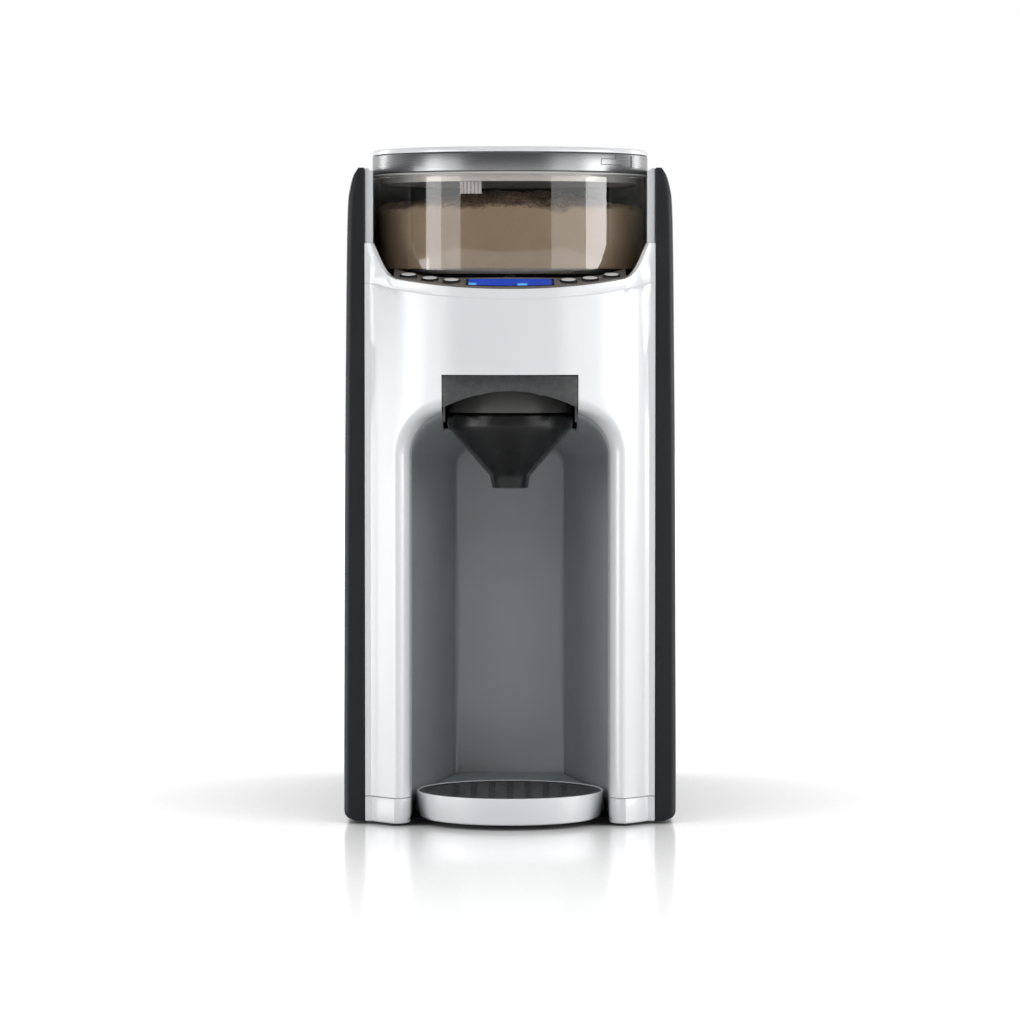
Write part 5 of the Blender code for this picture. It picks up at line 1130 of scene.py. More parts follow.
@dataclass
class FrontShell:
    """White front with the arch of the bottle bay and a fine line under its upper edge."""

    steps: tuple[int, int, int] = (14, 30, 20)
    skin_rows: int = 10
    fillet_rows: int = 12
    fullness: float = 0.55
    lip_depth: float = 4.0 * MM
    line_drop: float = 4.9 * MM
    line_width: float = 0.8 * MM
    line_depth: float = 0.3 * MM
    corner_shares: tuple[Flat, ...] = (
        (1.0, 0.0), (1.0, 0.3), (1.0, 0.65), (1.0, 1.0), (0.86, 1.0), (0.7, 1.0),
    )

    def outer_path(self, foot: float) -> list[Flat]:
        """The shell's outer edge, matched point by point with the arch.

        Args:
            foot: Height of the lower edge.

        Returns:
            (x, z) points from left to right.
        """
        spring = PLAN.arch_top - PLAN.arch_corner
        low, tall = self.steps[0], spring - foot
        left = [(-PLAN.half_width, foot + tall * k / low) for k in range(low + 1)]
        spans = len(self.corner_shares) - 1
        for k in range(1, self.steps[1] + 1):
            along = spans * k / self.steps[1]
            index = min(int(along), spans - 1)
            first, last = self.corner_shares[index], self.corner_shares[index + 1]
            x_share, z_share = (a + (b - a) * (along - index) for a, b in zip(first, last))
            x = -PLAN.half_width * x_share
            left.append((x, spring + z_share * (PLAN.edge_z(x) - spring)))
        last_x = left[-1][0]
        for k in range(1, self.steps[2]):
            x = last_x * (1 - k / self.steps[2])
            left.append((x, PLAN.edge_z(x)))
        return left + [(0.0, PLAN.edge_z(0.0))] + [(-x, z) for x, z in reversed(left)]

    def build(self) -> None:
        """Builds the shell with its notch for the funnel cover."""
        foot = PLAN.seam_z + PLAN.gap
        outer = self.outer_path(foot)
        start = PLAN.mouth(foot, self.steps, PLAN.fillet)
        rows = []
        for step in range(self.skin_rows + 1):
            share = step / self.skin_rows
            row = []
            for (outer_x, outer_z), (start_x, start_z) in zip(outer, start):
                x = outer_x + (start_x - outer_x) * share
                row.append(Vector((x, PLAN.face_y(x), outer_z + (start_z - outer_z) * share)))
            rows.append(row)
        mouth = PLAN.mouth(foot, self.steps)
        skin_end, before = rows[-1], rows[-2]
        for step in range(1, self.fillet_rows + 1):
            share = step / self.fillet_rows
            row = []
            for k, (x, z) in enumerate(mouth):
                first, last = skin_end[k], Vector((x, PLAN.face_y(start[k][0]) + PLAN.fillet, z))
                lead = first + (first - before[k]).normalized() * PLAN.fillet * self.fullness
                tail = last - Vector((0.0, PLAN.fillet * self.fullness, 0.0))
                row.append(
                    first * (1 - share) ** 3 + lead * 3 * share * (1 - share) ** 2
                    + tail * 3 * share ** 2 * (1 - share) + last * share ** 3
                )
            rows.append(row)
        rows.append([point + Vector((0.0, self.lip_depth, 0.0)) for point in rows[-1]])
        form = open_sheet(rows, (0.0, -1.0, 0.0))
        line = (0.0, PLAN.front_y, PLAN.top_edge - self.line_drop)
        score(form, line, (0.0, -PLAN.slope, 1.0), self.line_width, (0.0, self.line_depth, 0.0))
        shell = fresh("shell_front", form, Palette.WHITE)
        thicken(shell, PLAN.wall)
        reach = PLAN.cover_half + PLAN.gap
        carve(shell, block(
            (-reach, PLAN.front_y - PLAN.fillet, PLAN.arch_top - PLAN.fillet),
            (reach, PLAN.cover_back_y, PLAN.cover_top + PLAN.gap),
        ))
        soften(shell, 0.45 * MM, sharper=55.0)
        enlist(shell, "root", "white_shell", "front_shell")


@dataclass
class BottleBay:
    """Grey liner of the bottle bay, drawn in towards its back."""

    steps: tuple[int, int, int] = (16, 14, 14)
    foot_z: float = 2.0 * MM
    mid_y: float = -80.0 * MM
    mid_half: float = 48.2 * MM
    mid_corner: float = 20.0 * MM
    back_y: float = 18.0 * MM
    back_half: float = 28.0 * MM
    back_top: float = 182.0 * MM
    back_corner: float = 8.0 * MM
    back_round: float = 4.0 * MM
    wall: float = 1.8 * MM

    def build(self) -> None:
        """Builds the liner, open above where the funnel drawer slides."""
        foot, steps = self.foot_z, self.steps
        start = PLAN.mouth(foot, steps, PLAN.fillet)
        mouth = PLAN.mouth(foot, steps)
        depth = PLAN.fillet + FrontShell.lip_depth + PLAN.gap
        first = [Vector((x, PLAN.face_y(start[k][0]) + depth, z)) for k, (x, z) in enumerate(mouth)]
        share = (self.mid_y - PLAN.front_y) / (self.back_y - PLAN.front_y)
        mid_top = PLAN.arch_top + (self.back_top - PLAN.arch_top) * share
        arch = PLAN.arch(self.mid_half, mid_top, self.mid_corner, foot, steps)
        middle = standing(arch, Axis.Y, self.mid_y)
        arch = PLAN.arch(self.back_half, self.back_top, self.back_corner, foot, steps)
        last = standing(arch, Axis.Y, self.back_y)
        rows = [[a.lerp(b, k / 3) for a, b in zip(first, middle)] for k in range(3)]
        before = (self.back_y - self.back_round - self.mid_y) / (self.back_y - self.mid_y)
        rows += [[a.lerp(b, before * k / 6) for a, b in zip(middle, last)] for k in range(7)]
        edge = rows[-1]
        for k in range(1, 6):
            angle = math.pi / 2 * k / 5
            inward = self.back_round * (1 - math.cos(angle))
            far = edge[0].y + self.back_round * math.sin(angle)
            row = []
            for point, end in zip(edge, last):
                toward = Vector((-end.x, 0.0, self.back_top / 2 - end.z)).normalized()
                place = Vector((point.x, 0.0, point.z)) + toward * inward
                row.append(Vector((place.x, far, max(place.z, foot))))
            rows.append(row)
        sheet = open_sheet(rows, (1.0, 0.0, 0.0), end_cap=True)
        liner = fresh("liner_bay", sheet, Palette.LINER, crease=40.0)
        thicken(liner, self.wall)
        reach = PLAN.cover_half + PLAN.gap
        carve(liner, block(
            (-reach, PLAN.front_y, self.back_top), (reach, PLAN.cover_back_y + PLAN.gap, PLAN.cover_top)
        ))
        enlist(liner, "root", "bay_grey", "bay_liner")


@dataclass
class Flanks:
    """Dark side panels that swell towards the base, and the white plates between them and the body."""

    inner_x: float = 71.8 * MM
    bulge: float = 10.2 * MM
    bottom_z: float = 1.5 * MM
    corner: float = 3.0 * MM
    plate_wall: float = 2.0 * MM
    lip_x: float = 67.4 * MM
    lip_depth: float = 2.5 * MM
    lip_foot_z: float = 273.0 * MM
    shares: tuple[Flat, ...] = (
        (0.0, 0.51), (0.0047, 0.85), (0.0155, 1.0), (0.12, 1.0), (0.486, 0.951), (0.799, 0.863),
        (0.89, 0.824), (0.95, 0.765), (0.969, 0.676), (0.988, 0.51), (1.0, 0.275),
    )

    def section(self, reach: float, side: Side) -> list[Flat]:
        """Plan of a panel at one height.

        Args:
            reach: How far out it goes there.
            side: Which panel.

        Returns:
            Its outline, with round outer corners.
        """
        corner = min(self.corner, reach - self.inner_x - 0.1 * MM)
        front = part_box("side_panel_left")[0].y
        radii = (0.3 * MM, corner, corner, 0.3 * MM)
        outline = rectangle((self.inner_x, front), (reach, PLAN.back_y), radii, 7)
        return [(side.value * x, y) for x, y in outline]

    def profile(self) -> list[Flat]:
        """The panel's bulge over its height, as (height share, bulge share) on a smooth line."""
        line: list[Flat] = []
        padded = (self.shares[0],) + self.shares + (self.shares[-1],)
        for a, b, c, d in zip(padded, padded[1:], padded[2:], padded[3:]):
            for k in range(4):
                t = k / 4
                lift = b[0] + (c[0] - b[0]) * t
                slope_b = (c[1] - a[1]) / max(c[0] - a[0], 1e-6)
                slope_c = (d[1] - b[1]) / max(d[0] - b[0], 1e-6)
                span = c[0] - b[0]
                value = (
                    (2 * t ** 3 - 3 * t ** 2 + 1) * b[1] + (t ** 3 - 2 * t ** 2 + t) * span * slope_b
                    + (3 * t ** 2 - 2 * t ** 3) * c[1] + (t ** 3 - t ** 2) * span * slope_c
                )
                line.append((lift, min(1.0, value)))
        return line + [self.shares[-1]]

    def build(self) -> None:
        """Builds both panels and both plates."""
        height = PLAN.top_z - self.bottom_z
        front = PLAN.face_y(PLAN.strip_x) + PLAN.wall + PLAN.gap
        edge = 0.5 * MM
        for side in Side:
            word = side.name.lower()
            rings = [
                level(self.section(self.inner_x + self.bulge * bulge, side), self.bottom_z + height * lift)
                for lift, bulge in self.profile()
            ]
            home = ("root", "charcoal_panel", f"side_panel_{word}")
            piece(f"flank_{word}", skin(rings), Palette.CHARCOAL, home, crease=50.0)
            walls = (PLAN.half_width - self.plate_wall, PLAN.half_width)
            low_x, high_x = sorted(side.value * x for x in walls)
            radii = (0.0, 0.0, self.corner, self.corner)
            outline = rectangle((front, PLAN.seam_z + PLAN.gap), (PLAN.back_y, PLAN.top_z), radii, 6)
            stations = ((low_x, edge), (low_x + edge, 0.0), (high_x - edge, 0.0), (high_x, edge))
            white = fresh(f"plate_{word}", upright(outline, Axis.X, stations), Palette.WHITE)
            inside = PLAN.half_width - 1.0 * MM, PLAN.top_z - 1.0 * MM
            outline = rectangle((self.lip_x, self.lip_foot_z), inside, (0.0, 0.0, 0.0, self.corner), 6)
            rings = []
            for y, trim in ((front, edge), (front + edge, 0.0), (front + self.lip_depth, 0.0)):
                rings.append([Vector((side.value * x, y, z)) for x, z in shrunk(outline, trim)])
            carve(white, skin(rings), "UNION")
            enlist(white, "root", "white_shell", f"side_plate_{word}")


@dataclass
class Base:
    """White base pan with its two noses, and the dark pedestal under the water tank."""

    half: float = 75.0 * MM
    corner: float = 18.0 * MM
    pedestal_z: float = 38.0 * MM
    liner_wall: float = 1.8 * MM
    gasket_hole: float = 9.0 * MM
    valve_y: float = 113.0 * MM

    def pan_outline(self) -> list[Flat]:
        """Plan of the pan.

        Returns:
            Its closed outline.
        """
        clear = self.liner_wall + PLAN.gap
        nose = PLAN.arch_half + PLAN.fillet
        lip_y = PLAN.face_y(nose) + PLAN.fillet + FrontShell.lip_depth
        right = [
            (BottleBay.back_half + clear, BottleBay.back_y + clear),
            (BottleBay.mid_half + clear, BottleBay.mid_y),
            (PLAN.arch_half + clear, lip_y), (PLAN.arch_half, lip_y),
        ]
        right += arc((nose, PLAN.face_y(nose) + PLAN.fillet), PLAN.fillet, 180.0, 270.0, 9)
        strip = PLAN.strip_x - nose
        right += [(nose + strip * k / 8, PLAN.face_y(nose + strip * k / 8)) for k in range(1, 9)]
        right += [
            (PLAN.half_width, PLAN.face_y(PLAN.half_width)), (PLAN.half_width, PLAN.back_y + PLAN.gap),
            (self.half, PLAN.back_y + PLAN.gap),
        ]
        return mirrored(right + PLAN.rear_corner(self.half, PLAN.rear_y, self.corner))

    def build(self) -> None:
        """Builds the pan and the pedestal and dresses the pieces on them."""
        pan = cup(self.pan_outline(), PLAN.wall, PLAN.pan_z, PLAN.seam_z, 1.0 * MM, 0.4 * MM)
        piece("pan_base", pan, Palette.WHITE, ("root", "white_shell", "base_pan"), crease=38.0)
        right = [(self.half, PLAN.back_y + 2 * PLAN.gap)]
        right += PLAN.rear_corner(self.half, PLAN.rear_y, self.corner)
        form = cup(mirrored(right), PLAN.wall, self.pedestal_z, PLAN.seam_z + PLAN.gap, 1.0 * MM)
        pedestal = fresh("pedestal_tank", form, Palette.CHARCOAL, crease=38.0)
        low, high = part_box("power_inlet")
        window = block(
            (low.x - PLAN.gap, low.y - PLAN.gap, low.z - PLAN.gap),
            (high.x + PLAN.gap, high.y + PLAN.fillet, high.z + PLAN.gap),
        )
        foot, head = self.pedestal_z - PLAN.fillet, self.pedestal_z + PLAN.fillet
        hole = rod(self.gasket_hole, foot, head, (0.0, self.valve_y), 48)
        carve(pedestal, merged([window, hole]))
        soften(pedestal, 0.4 * MM)
        enlist(pedestal, "root", "charcoal_panel", "tank_base")
        dress(Palette.RUBBER, "foot_front_left", "foot_front_right", "foot_rear_left", "foot_rear_right")
        dress(Palette.RUBBER, "tank_gasket")
        dress(Palette.HOUSING, "power_inlet")
        dress(Palette.GEAR, "tank_socket")


@dataclass
class ControlDeck:
    """Sloping dark crescent with the lit display and six oval buttons."""

    thickness: float = 2.2 * MM
    cradle: float = 0.8 * MM
    display_half: float = 21.3 * MM
    display_margin: float = 1.6 * MM
    display_thickness: float = 1.6 * MM
    button_first: float = 28.5 * MM
    button_pitch: float = 10.6 * MM
    buttons: int = 3
    button_length: float = 4.3 * MM
    button_width: float = 2.9 * MM
    button_root: float = -3.4 * MM
    cap_setback: float = 0.55 * MM
    cap_rings: tuple[Flat, ...] = (
        (0.28, 0.88 * MM), (0.4, 0.97 * MM), (0.55, 1.03 * MM), (0.75, 1.07 * MM), (0.97, 1.08 * MM),
    )
    tilt: float = 0.36
    swell: float = 2.5 * MM
    swell_half: float = 45.0 * MM
    steps: int = 48

    @property
    def half(self) -> float:
        """Half width of the panel."""
        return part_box("control_panel")[1].x

    @property
    def outer(self) -> float:
        """Radius of the crescent's front edge."""
        return PLAN.arc_radius - PLAN.wall - 2 * PLAN.gap

    @property
    def inner(self) -> float:
        """Radius of the crescent's edge beside the hopper."""
        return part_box("powder_container")[1].x + self.cradle

    def span(self, x: float, trim: float = 0.0) -> Flat:
        """Where the crescent starts and ends at a given x, with both edges drawn in by a trim."""
        front = PLAN.arc_y - math.sqrt((self.outer - trim) ** 2 - x ** 2)
        return front, PLAN.hopper_y - math.sqrt((self.inner + trim) ** 2 - x ** 2)

    def face(self, x: float, y: float) -> float:
        """Height of the panel's face, which swells towards the hopper behind the display."""
        front, rear = self.span(x)
        swell = self.swell * max(0.0, 1 - (x / self.swell_half) ** 2) ** 2
        return PLAN.slope_z(y) + swell * (y - front) / (rear - front)

    def crescent(self, half: float, trim: float, low: float, high: float, edge: float) -> Form:
        """A crescent between the front's arc and the hopper's circle.

        Args:
            half: Half width.
            trim: How far its edges are drawn in.
            low: How far its underside lies under the panel's face.
            high: How far its upper side lies over the panel's face.
            edge: Radius of its upper edges.

        Returns:
            The form.
        """
        rings = []
        for k in range(self.steps + 1):
            x = half * (2 * k / self.steps - 1)
            front, rear = self.span(x, trim)
            start, end = self.face(x, front), self.face(x, rear)
            section = rounded([
                (front, start - low, 0.0), (rear, end - low, 0.0), (rear, end + high, edge),
                (front, start + high, edge),
            ], closed=True)
            rings.append(standing(section, Axis.X, x))
        return skin(rings)

    def oval(self, grow: float, height: float, count: int = 48) -> list[Vector]:
        """One oval ring of a button in the button's own frame.

        Args:
            grow: How far it is grown all round.
            height: Its height.
            count: Its points.

        Returns:
            The ring.
        """
        turn = 2 * math.pi / count
        length, width = self.button_length + grow, self.button_width + grow
        plan = [(length * math.cos(turn * k), width * math.sin(turn * k)) for k in range(count)]
        return level(plan, height)

    def tilted(self, form: Form, place: Vector) -> Form:
        """A form tilted as the buttons are and moved to its place."""
        turn = Euler((math.atan(self.tilt), 0.0, 0.0)).to_matrix().to_4x4()
        bmesh.ops.transform(form, matrix=turn, verts=form.verts)
        bmesh.ops.translate(form, verts=form.verts, vec=place)
        return form

    def build(self) -> None:
        """Builds the panel, the display and the buttons."""
        form = self.crescent(self.half, 0.0, self.thickness, 0.0, 0.25 * MM)
        # The panel's taupe tone is partly a painted reflection of the powder behind it.
        panel = fresh("panel_control", form, Palette.DECK_AND_REFLECTION)
        grow = PLAN.gap
        margin = self.display_margin
        tools = [self.crescent(self.display_half + grow, margin - grow, PLAN.fillet, PLAN.fillet, 0.0)]
        places = []
        for side in Side:
            for number in range(self.buttons):
                x = side.value * (self.button_first + self.button_pitch * number)
                y = sum(self.span(x)) / 2
                place = Vector((x, y, self.face(x, y)))
                places.append((f"{side.name.lower()}_{number + 1}", place))
                hole = skin([self.oval(grow, -PLAN.fillet), self.oval(grow, PLAN.fillet)])
                tools.append(self.tilted(hole, place))
        carve(panel, merged(tools))
        soften(panel, 0.12 * MM, sharper=60.0)
        enlist(panel, "root", "dark_housing", "control_panel")
        window = self.crescent(self.display_half, margin, self.display_thickness, 0.0, 0.2 * MM)
        glass = LitDisplay(
            "display_blue", PLAN.arc_y, PLAN.hopper_y, self.outer - margin - 0.4 * MM,
            self.inner + margin - 0.2 * MM, self.display_half - 0.8 * MM,
        )
        piece("display_glass", window, glass, ("root", "display", "display_window"))
        # Each button has a near-black key whose front paints the shade on its lower half, and a pale silver
        # cap set back above it, which paints its top highlight.
        for word, place in places:
            rings = [
                self.oval(0.0, self.button_root), self.oval(0.0, 0.7 * MM), self.oval(-0.1 * MM, 0.8 * MM),
                self.oval(-0.97 * self.button_width, 0.82 * MM),
            ]
            home = (f"press_{word}", "silver_trim", f"button_{word}")
            piece(f"key_{word}", self.tilted(skin(rings), place), Palette.MARK_AND_SHADE, home, crease=60.0)
            rings = [self.oval(-0.6 * MM, 0.5 * MM), self.oval(-0.65 * MM, 0.75 * MM)]
            rings += [self.oval(-share * self.button_width, rise) for share, rise in self.cap_rings]
            cap = skin(rings)
            bmesh.ops.translate(cap, verts=cap.verts, vec=(0.0, self.cap_setback, 0.0))
            piece(f"cap_{word}", self.tilted(cap, place), Palette.CHROME_AND_HIGHLIGHT, home[:2], crease=60.0)
        dress(Palette.BOARD, "control_board")


@dataclass
class PowderHopper:
    """Clear round hopper with its powder, wheels, lid, silver ring and seal."""

    wall: float = 2.2 * MM
    corner: float = 5.0 * MM
    dog_hole: float = 5.2 * MM
    outlet: float = 6.5 * MM
    ring_wall: float = 4.5 * MM
    mark_depth: float = 0.25 * MM
    mark_rise: float = 0.03 * MM
    marks: tuple[tuple[float, float, float, float], ...] = (
        (59.8, 60.8, -2.1 * MM, 3.7 * MM), (40.7, 48.7, 1.7 * MM, 1.98 * MM),
        (40.7, 52.8, -1.15 * MM, -0.87 * MM), (40.3, 40.6, -1.15 * MM, 1.98 * MM),
        (48.8, 49.1, 1.9 * MM, 4.2 * MM),
    )
    seal_wall: float = 2.6 * MM
    skirt_wall: float = 2.0 * MM
    skirt_z: float = 316.5 * MM
    tab_left: float = -24.5 * MM
    tab_right: float = -13.8 * MM
    tab_z: float = 310.5 * MM
    tab_ribs: int = 6
    tab_depth: float = 3.0 * MM
    rib_depth: float = 0.7 * MM
    powder_z: float = 304.0 * MM
    crown: float = 11.0 * MM
    crest_drop: float = 2.6 * MM
    lumps: float = 2.4 * MM
    lump_length: float = 15.0 * MM
    lump_shares: tuple[Flat, ...] = ((0.9, 1.0), (0.5, 2.3), (0.4, 4.7), (0.35, 9.0), (0.2, 19.0))
    loose_depth: float = 5.0 * MM
    loose_span: float = 4.0 * MM
    shoulder_drops: tuple[float, ...] = (12.0 * MM, 5.0 * MM, 2.4 * MM, 1.2 * MM)
    shoulder_round: float = 0.4 * MM
    heap_rings: int = 36
    well_radius: float = 60.5 * MM
    well_z: float = 281.6 * MM

    @property
    def axis(self) -> Flat:
        """The hopper's centre line."""
        return (0.0, PLAN.hopper_y)

    @property
    def radius(self) -> float:
        """The hopper's outer radius."""
        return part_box("powder_container")[1].x

    def container(self) -> None:
        """Builds the clear container."""
        low, high = (corner.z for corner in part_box("powder_container"))
        r = self.radius
        inner, floor = r - self.wall, low + self.wall
        profile = rounded([
            (self.dog_hole, low, 0.4 * MM), (r, low, self.corner), (r, high, 0.9 * MM),
            (inner, high, 0.9 * MM), (inner, floor, self.corner - self.wall),
            (self.dog_hole, floor, 0.4 * MM),
        ], closed=True, steps=8)
        form = turned(profile, self.axis, 144, cyclic=True)
        jar = fresh("hopper_clear", form, Palette.HOPPER, crease=50.0)
        carve(jar, rod(self.outlet, low - PLAN.fillet, low + PLAN.fillet, (0.0, PLAN.outlet_y), 40))
        enlist(jar, "hopper", "smoke_clear", "powder_container")

    def powder(self) -> None:
        """Builds the heap of powder, lumpy above and pressed flat against the wall."""
        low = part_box("powder_fill")[0].z
        r = self.radius - self.wall - PLAN.gap
        corner = self.corner - self.wall - PLAN.gap
        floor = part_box("powder_container")[0].z + self.wall + PLAN.gap
        foot = r - corner + math.sqrt(corner ** 2 - (floor + corner - low) ** 2)
        well = self.well_radius
        profile: list[Flat] = [(0.0, self.well_z), (well, self.well_z), (well, low), (foot, low)]
        start = math.asin((foot - r + corner) / corner)
        for k in range(1, 9):
            angle = start + (math.pi / 2 - start) * k / 8
            profile.append((r - corner + corner * math.sin(angle), floor + corner - corner * math.cos(angle)))
        profile += [(r, self.powder_z - drop) for drop in self.shoulder_drops]
        profile.append((r - self.shoulder_round, self.powder_z - 1.5 * self.shoulder_round))
        crest = self.crown - self.crest_drop
        for k in range(1, self.heap_rings):
            share = 1 - k / self.heap_rings
            profile.append((r * share, self.powder_z + crest * (1 - share ** 2.0)))
        profile.append((0.0, self.powder_z + crest))
        form = turned(profile, self.axis, 300)
        top = self.powder_z + self.crown
        for vertex in form.verts:
            loose = (vertex.co.z - self.powder_z + self.loose_depth) / self.loose_span
            if loose > 0:
                place = vertex.co / self.lump_length
                waves = sum(share * noise.noise(place * times) for share, times in self.lump_shares)
                vertex.co.z = min(vertex.co.z + min(loose, 1.0) * self.lumps * waves, top)
        home = ("hopper", "powder", "powder_fill")
        piece("powder_heap", form, Granules("cream_powder"), home, crease=80.0)

    def ring(self) -> None:
        """Builds the silver ring with its tick and the outline of its slot."""
        low, high = (corner.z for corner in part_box("lid_ring"))
        radii = (0.4 * MM, 0.5 * MM, 0.5 * MM, 0.4 * MM)
        profile = rectangle((self.radius - self.ring_wall, low), (self.radius, high), radii)
        form = turned(profile, self.axis, 144, cyclic=True)
        piece("ring_silver", form, Palette.SILVER, ("lid_band", "silver_trim", "lid_ring"), crease=50.0)
        middle = (low + high) / 2
        lines = [self.mark(start, end, middle + foot, middle + head) for start, end, foot, head in self.marks]
        piece("ring_marks", merged(lines), Palette.MARK_AND_SHADE, ("lid_band", "silver_trim"))

    def mark(self, start: float, end: float, low: float, high: float) -> Form:
        """A thin curved inlay in the ring's face.

        Args:
            start: Where it starts, in degrees from the front towards the right.
            end: Where it ends.
            low: Its lower end.
            high: Its upper end.

        Returns:
            The inlay.
        """
        far = arc(self.axis, self.radius + self.mark_rise, start - 90.0, end - 90.0, 8)
        near = arc(self.axis, self.radius - self.mark_depth, end - 90.0, start - 90.0, 8)
        return skin([level(far + near, low), level(far + near, high)])

    def lid(self) -> None:
        """Builds the seal, the white cap and its ribbed tab."""
        r = self.radius
        low, high = (corner.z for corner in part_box("lid_seal"))
        radii = (0.2 * MM, 0.4 * MM, 0.4 * MM, 0.2 * MM)
        profile = rectangle((r - self.seal_wall, low), (r - 0.05 * MM, high), radii, 3)
        seal = turned(profile, self.axis, 144, cyclic=True)
        piece("seal_ring", seal, Palette.SEAL, ("lid", "hose_clear", "lid_seal"))
        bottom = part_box("lid_ring")[1].z + PLAN.gap
        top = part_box("lid_cap")[1].z
        skirt = r - self.ring_wall - PLAN.gap
        profile = rounded([
            (0.0, bottom, 0.0), (skirt - self.skirt_wall, bottom, 0.5 * MM),
            (skirt - self.skirt_wall, self.skirt_z, 0.5 * MM), (skirt, self.skirt_z, 0.5 * MM),
            (skirt, bottom, 0.2 * MM), (r, bottom, 0.3 * MM), (r, top - 0.2 * MM, 1.4 * MM),
            (r - 6.0 * MM, top, 1.0 * MM), (r - 8.0 * MM, top - 0.9 * MM, 1.0 * MM),
            (r - 22.0 * MM, top - 0.9 * MM, 1.0 * MM), (r - 23.5 * MM, top - 0.5 * MM, 1.0 * MM),
            (0.0, top - 0.4 * MM, 0.0),
        ], steps=5)
        cap = turned(profile, self.axis, 144)
        piece("cap_white", cap, Palette.WHITE, ("lid", "white_shell", "lid_cap"), crease=50.0)
        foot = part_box("lid_cap")[0].z
        face = PLAN.hopper_y - math.sqrt((skirt - self.skirt_wall / 2) ** 2 - self.tab_left ** 2)
        ribs: list[Flat] = []
        width = (self.tab_right - self.tab_left) / self.tab_ribs
        groove, back = face + self.rib_depth, face + self.tab_depth
        for k in range(self.tab_ribs):
            x = self.tab_left + width * k
            ribs += [(x, groove), (x + 0.25 * width, face), (x + 0.75 * width, face)]
        ribs += [(self.tab_right, groove), (self.tab_right, back), (self.tab_left, back)]
        tab = plate(ribs, max(foot, self.tab_z), bottom, 0.1 * MM)
        piece("tab_ribbed", tab, Palette.WHITE, ("lid", "white_shell"))

    def build(self) -> None:
        """Builds all that stands on the hopper's axis."""
        self.container()
        self.powder()
        self.ring()
        self.lid()
        dress(Palette.GEAR, "dosing_wheel", "stirring_wheel", "drive_gear", "upper_bush", "lower_bush")
        dress(Palette.GEAR, "powder_chute")


@dataclass
class TopCover:
    """Dark cover behind the hopper, hollowed out as its cradle, and the plate that closes the back."""

    cradle: float = 0.8 * MM
    horn_y: float = -30.0 * MM
    vent_rows: int = 6
    vent_z: float = 205.0 * MM
    vent_rise: float = 6.0 * MM
    vent_pitch: float = 30.0 * MM
    vent_half: float = 11.0 * MM
    vent_height: float = 2.4 * MM
    vent_depth: float = 1.2 * MM
    vent_clear: float = 2.0 * MM

    def build(self) -> None:
        """Builds the cover and the rear plate with its vents."""
        low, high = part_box("top_cover")
        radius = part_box("powder_container")[1].x + self.cradle
        horn = math.degrees(math.asin((self.horn_y - PLAN.hopper_y) / radius))
        half = high.x
        outline = arc((0.0, PLAN.hopper_y), radius, 180.0 - horn, horn, 56)
        outline += rounded([
            (half, self.horn_y, 0.0), (half, PLAN.back_y, 2.0 * MM), (-half, PLAN.back_y, 2.0 * MM),
            (-half, self.horn_y, 0.0),
        ], steps=5)
        cover = cup(outline, PLAN.wall, high.z, low.z, 1.2 * MM)
        piece("cover_top", cover, Palette.HOUSING, ("root", "dark_housing", "top_cover"), crease=45.0)
        low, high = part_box("rear_cover")
        outline = rectangle((low.x, low.z), (high.x, high.z), (1.0 * MM,))
        stations = ((low.y, 0.0), (high.y - 0.4 * MM, 0.0), (high.y, 0.4 * MM))
        rear = fresh("cover_rear", upright(outline, Axis.Y, stations), Palette.CHARCOAL)
        tools = []
        reach, tall = self.vent_half, self.vent_height
        stations = ((high.y - self.vent_depth, 0.0), (high.y + self.vent_clear, 0.0))
        for row in range(self.vent_rows):
            z = self.vent_z + self.vent_rise * row
            for x in (-self.vent_pitch, 0.0, self.vent_pitch):
                slot = rectangle((x - reach, z), (x + reach, z + tall), (tall / 2,), 5)
                tools.append(upright(slot, Axis.Y, stations))
        carve(rear, merged(tools))
        enlist(rear, "root", "charcoal_panel", "rear_cover")
        dress(Palette.STEEL, "cover_screw_left", "cover_screw_right", "gear_motor", "motor_pinion")
        dress(Palette.STEEL, "water_heater")


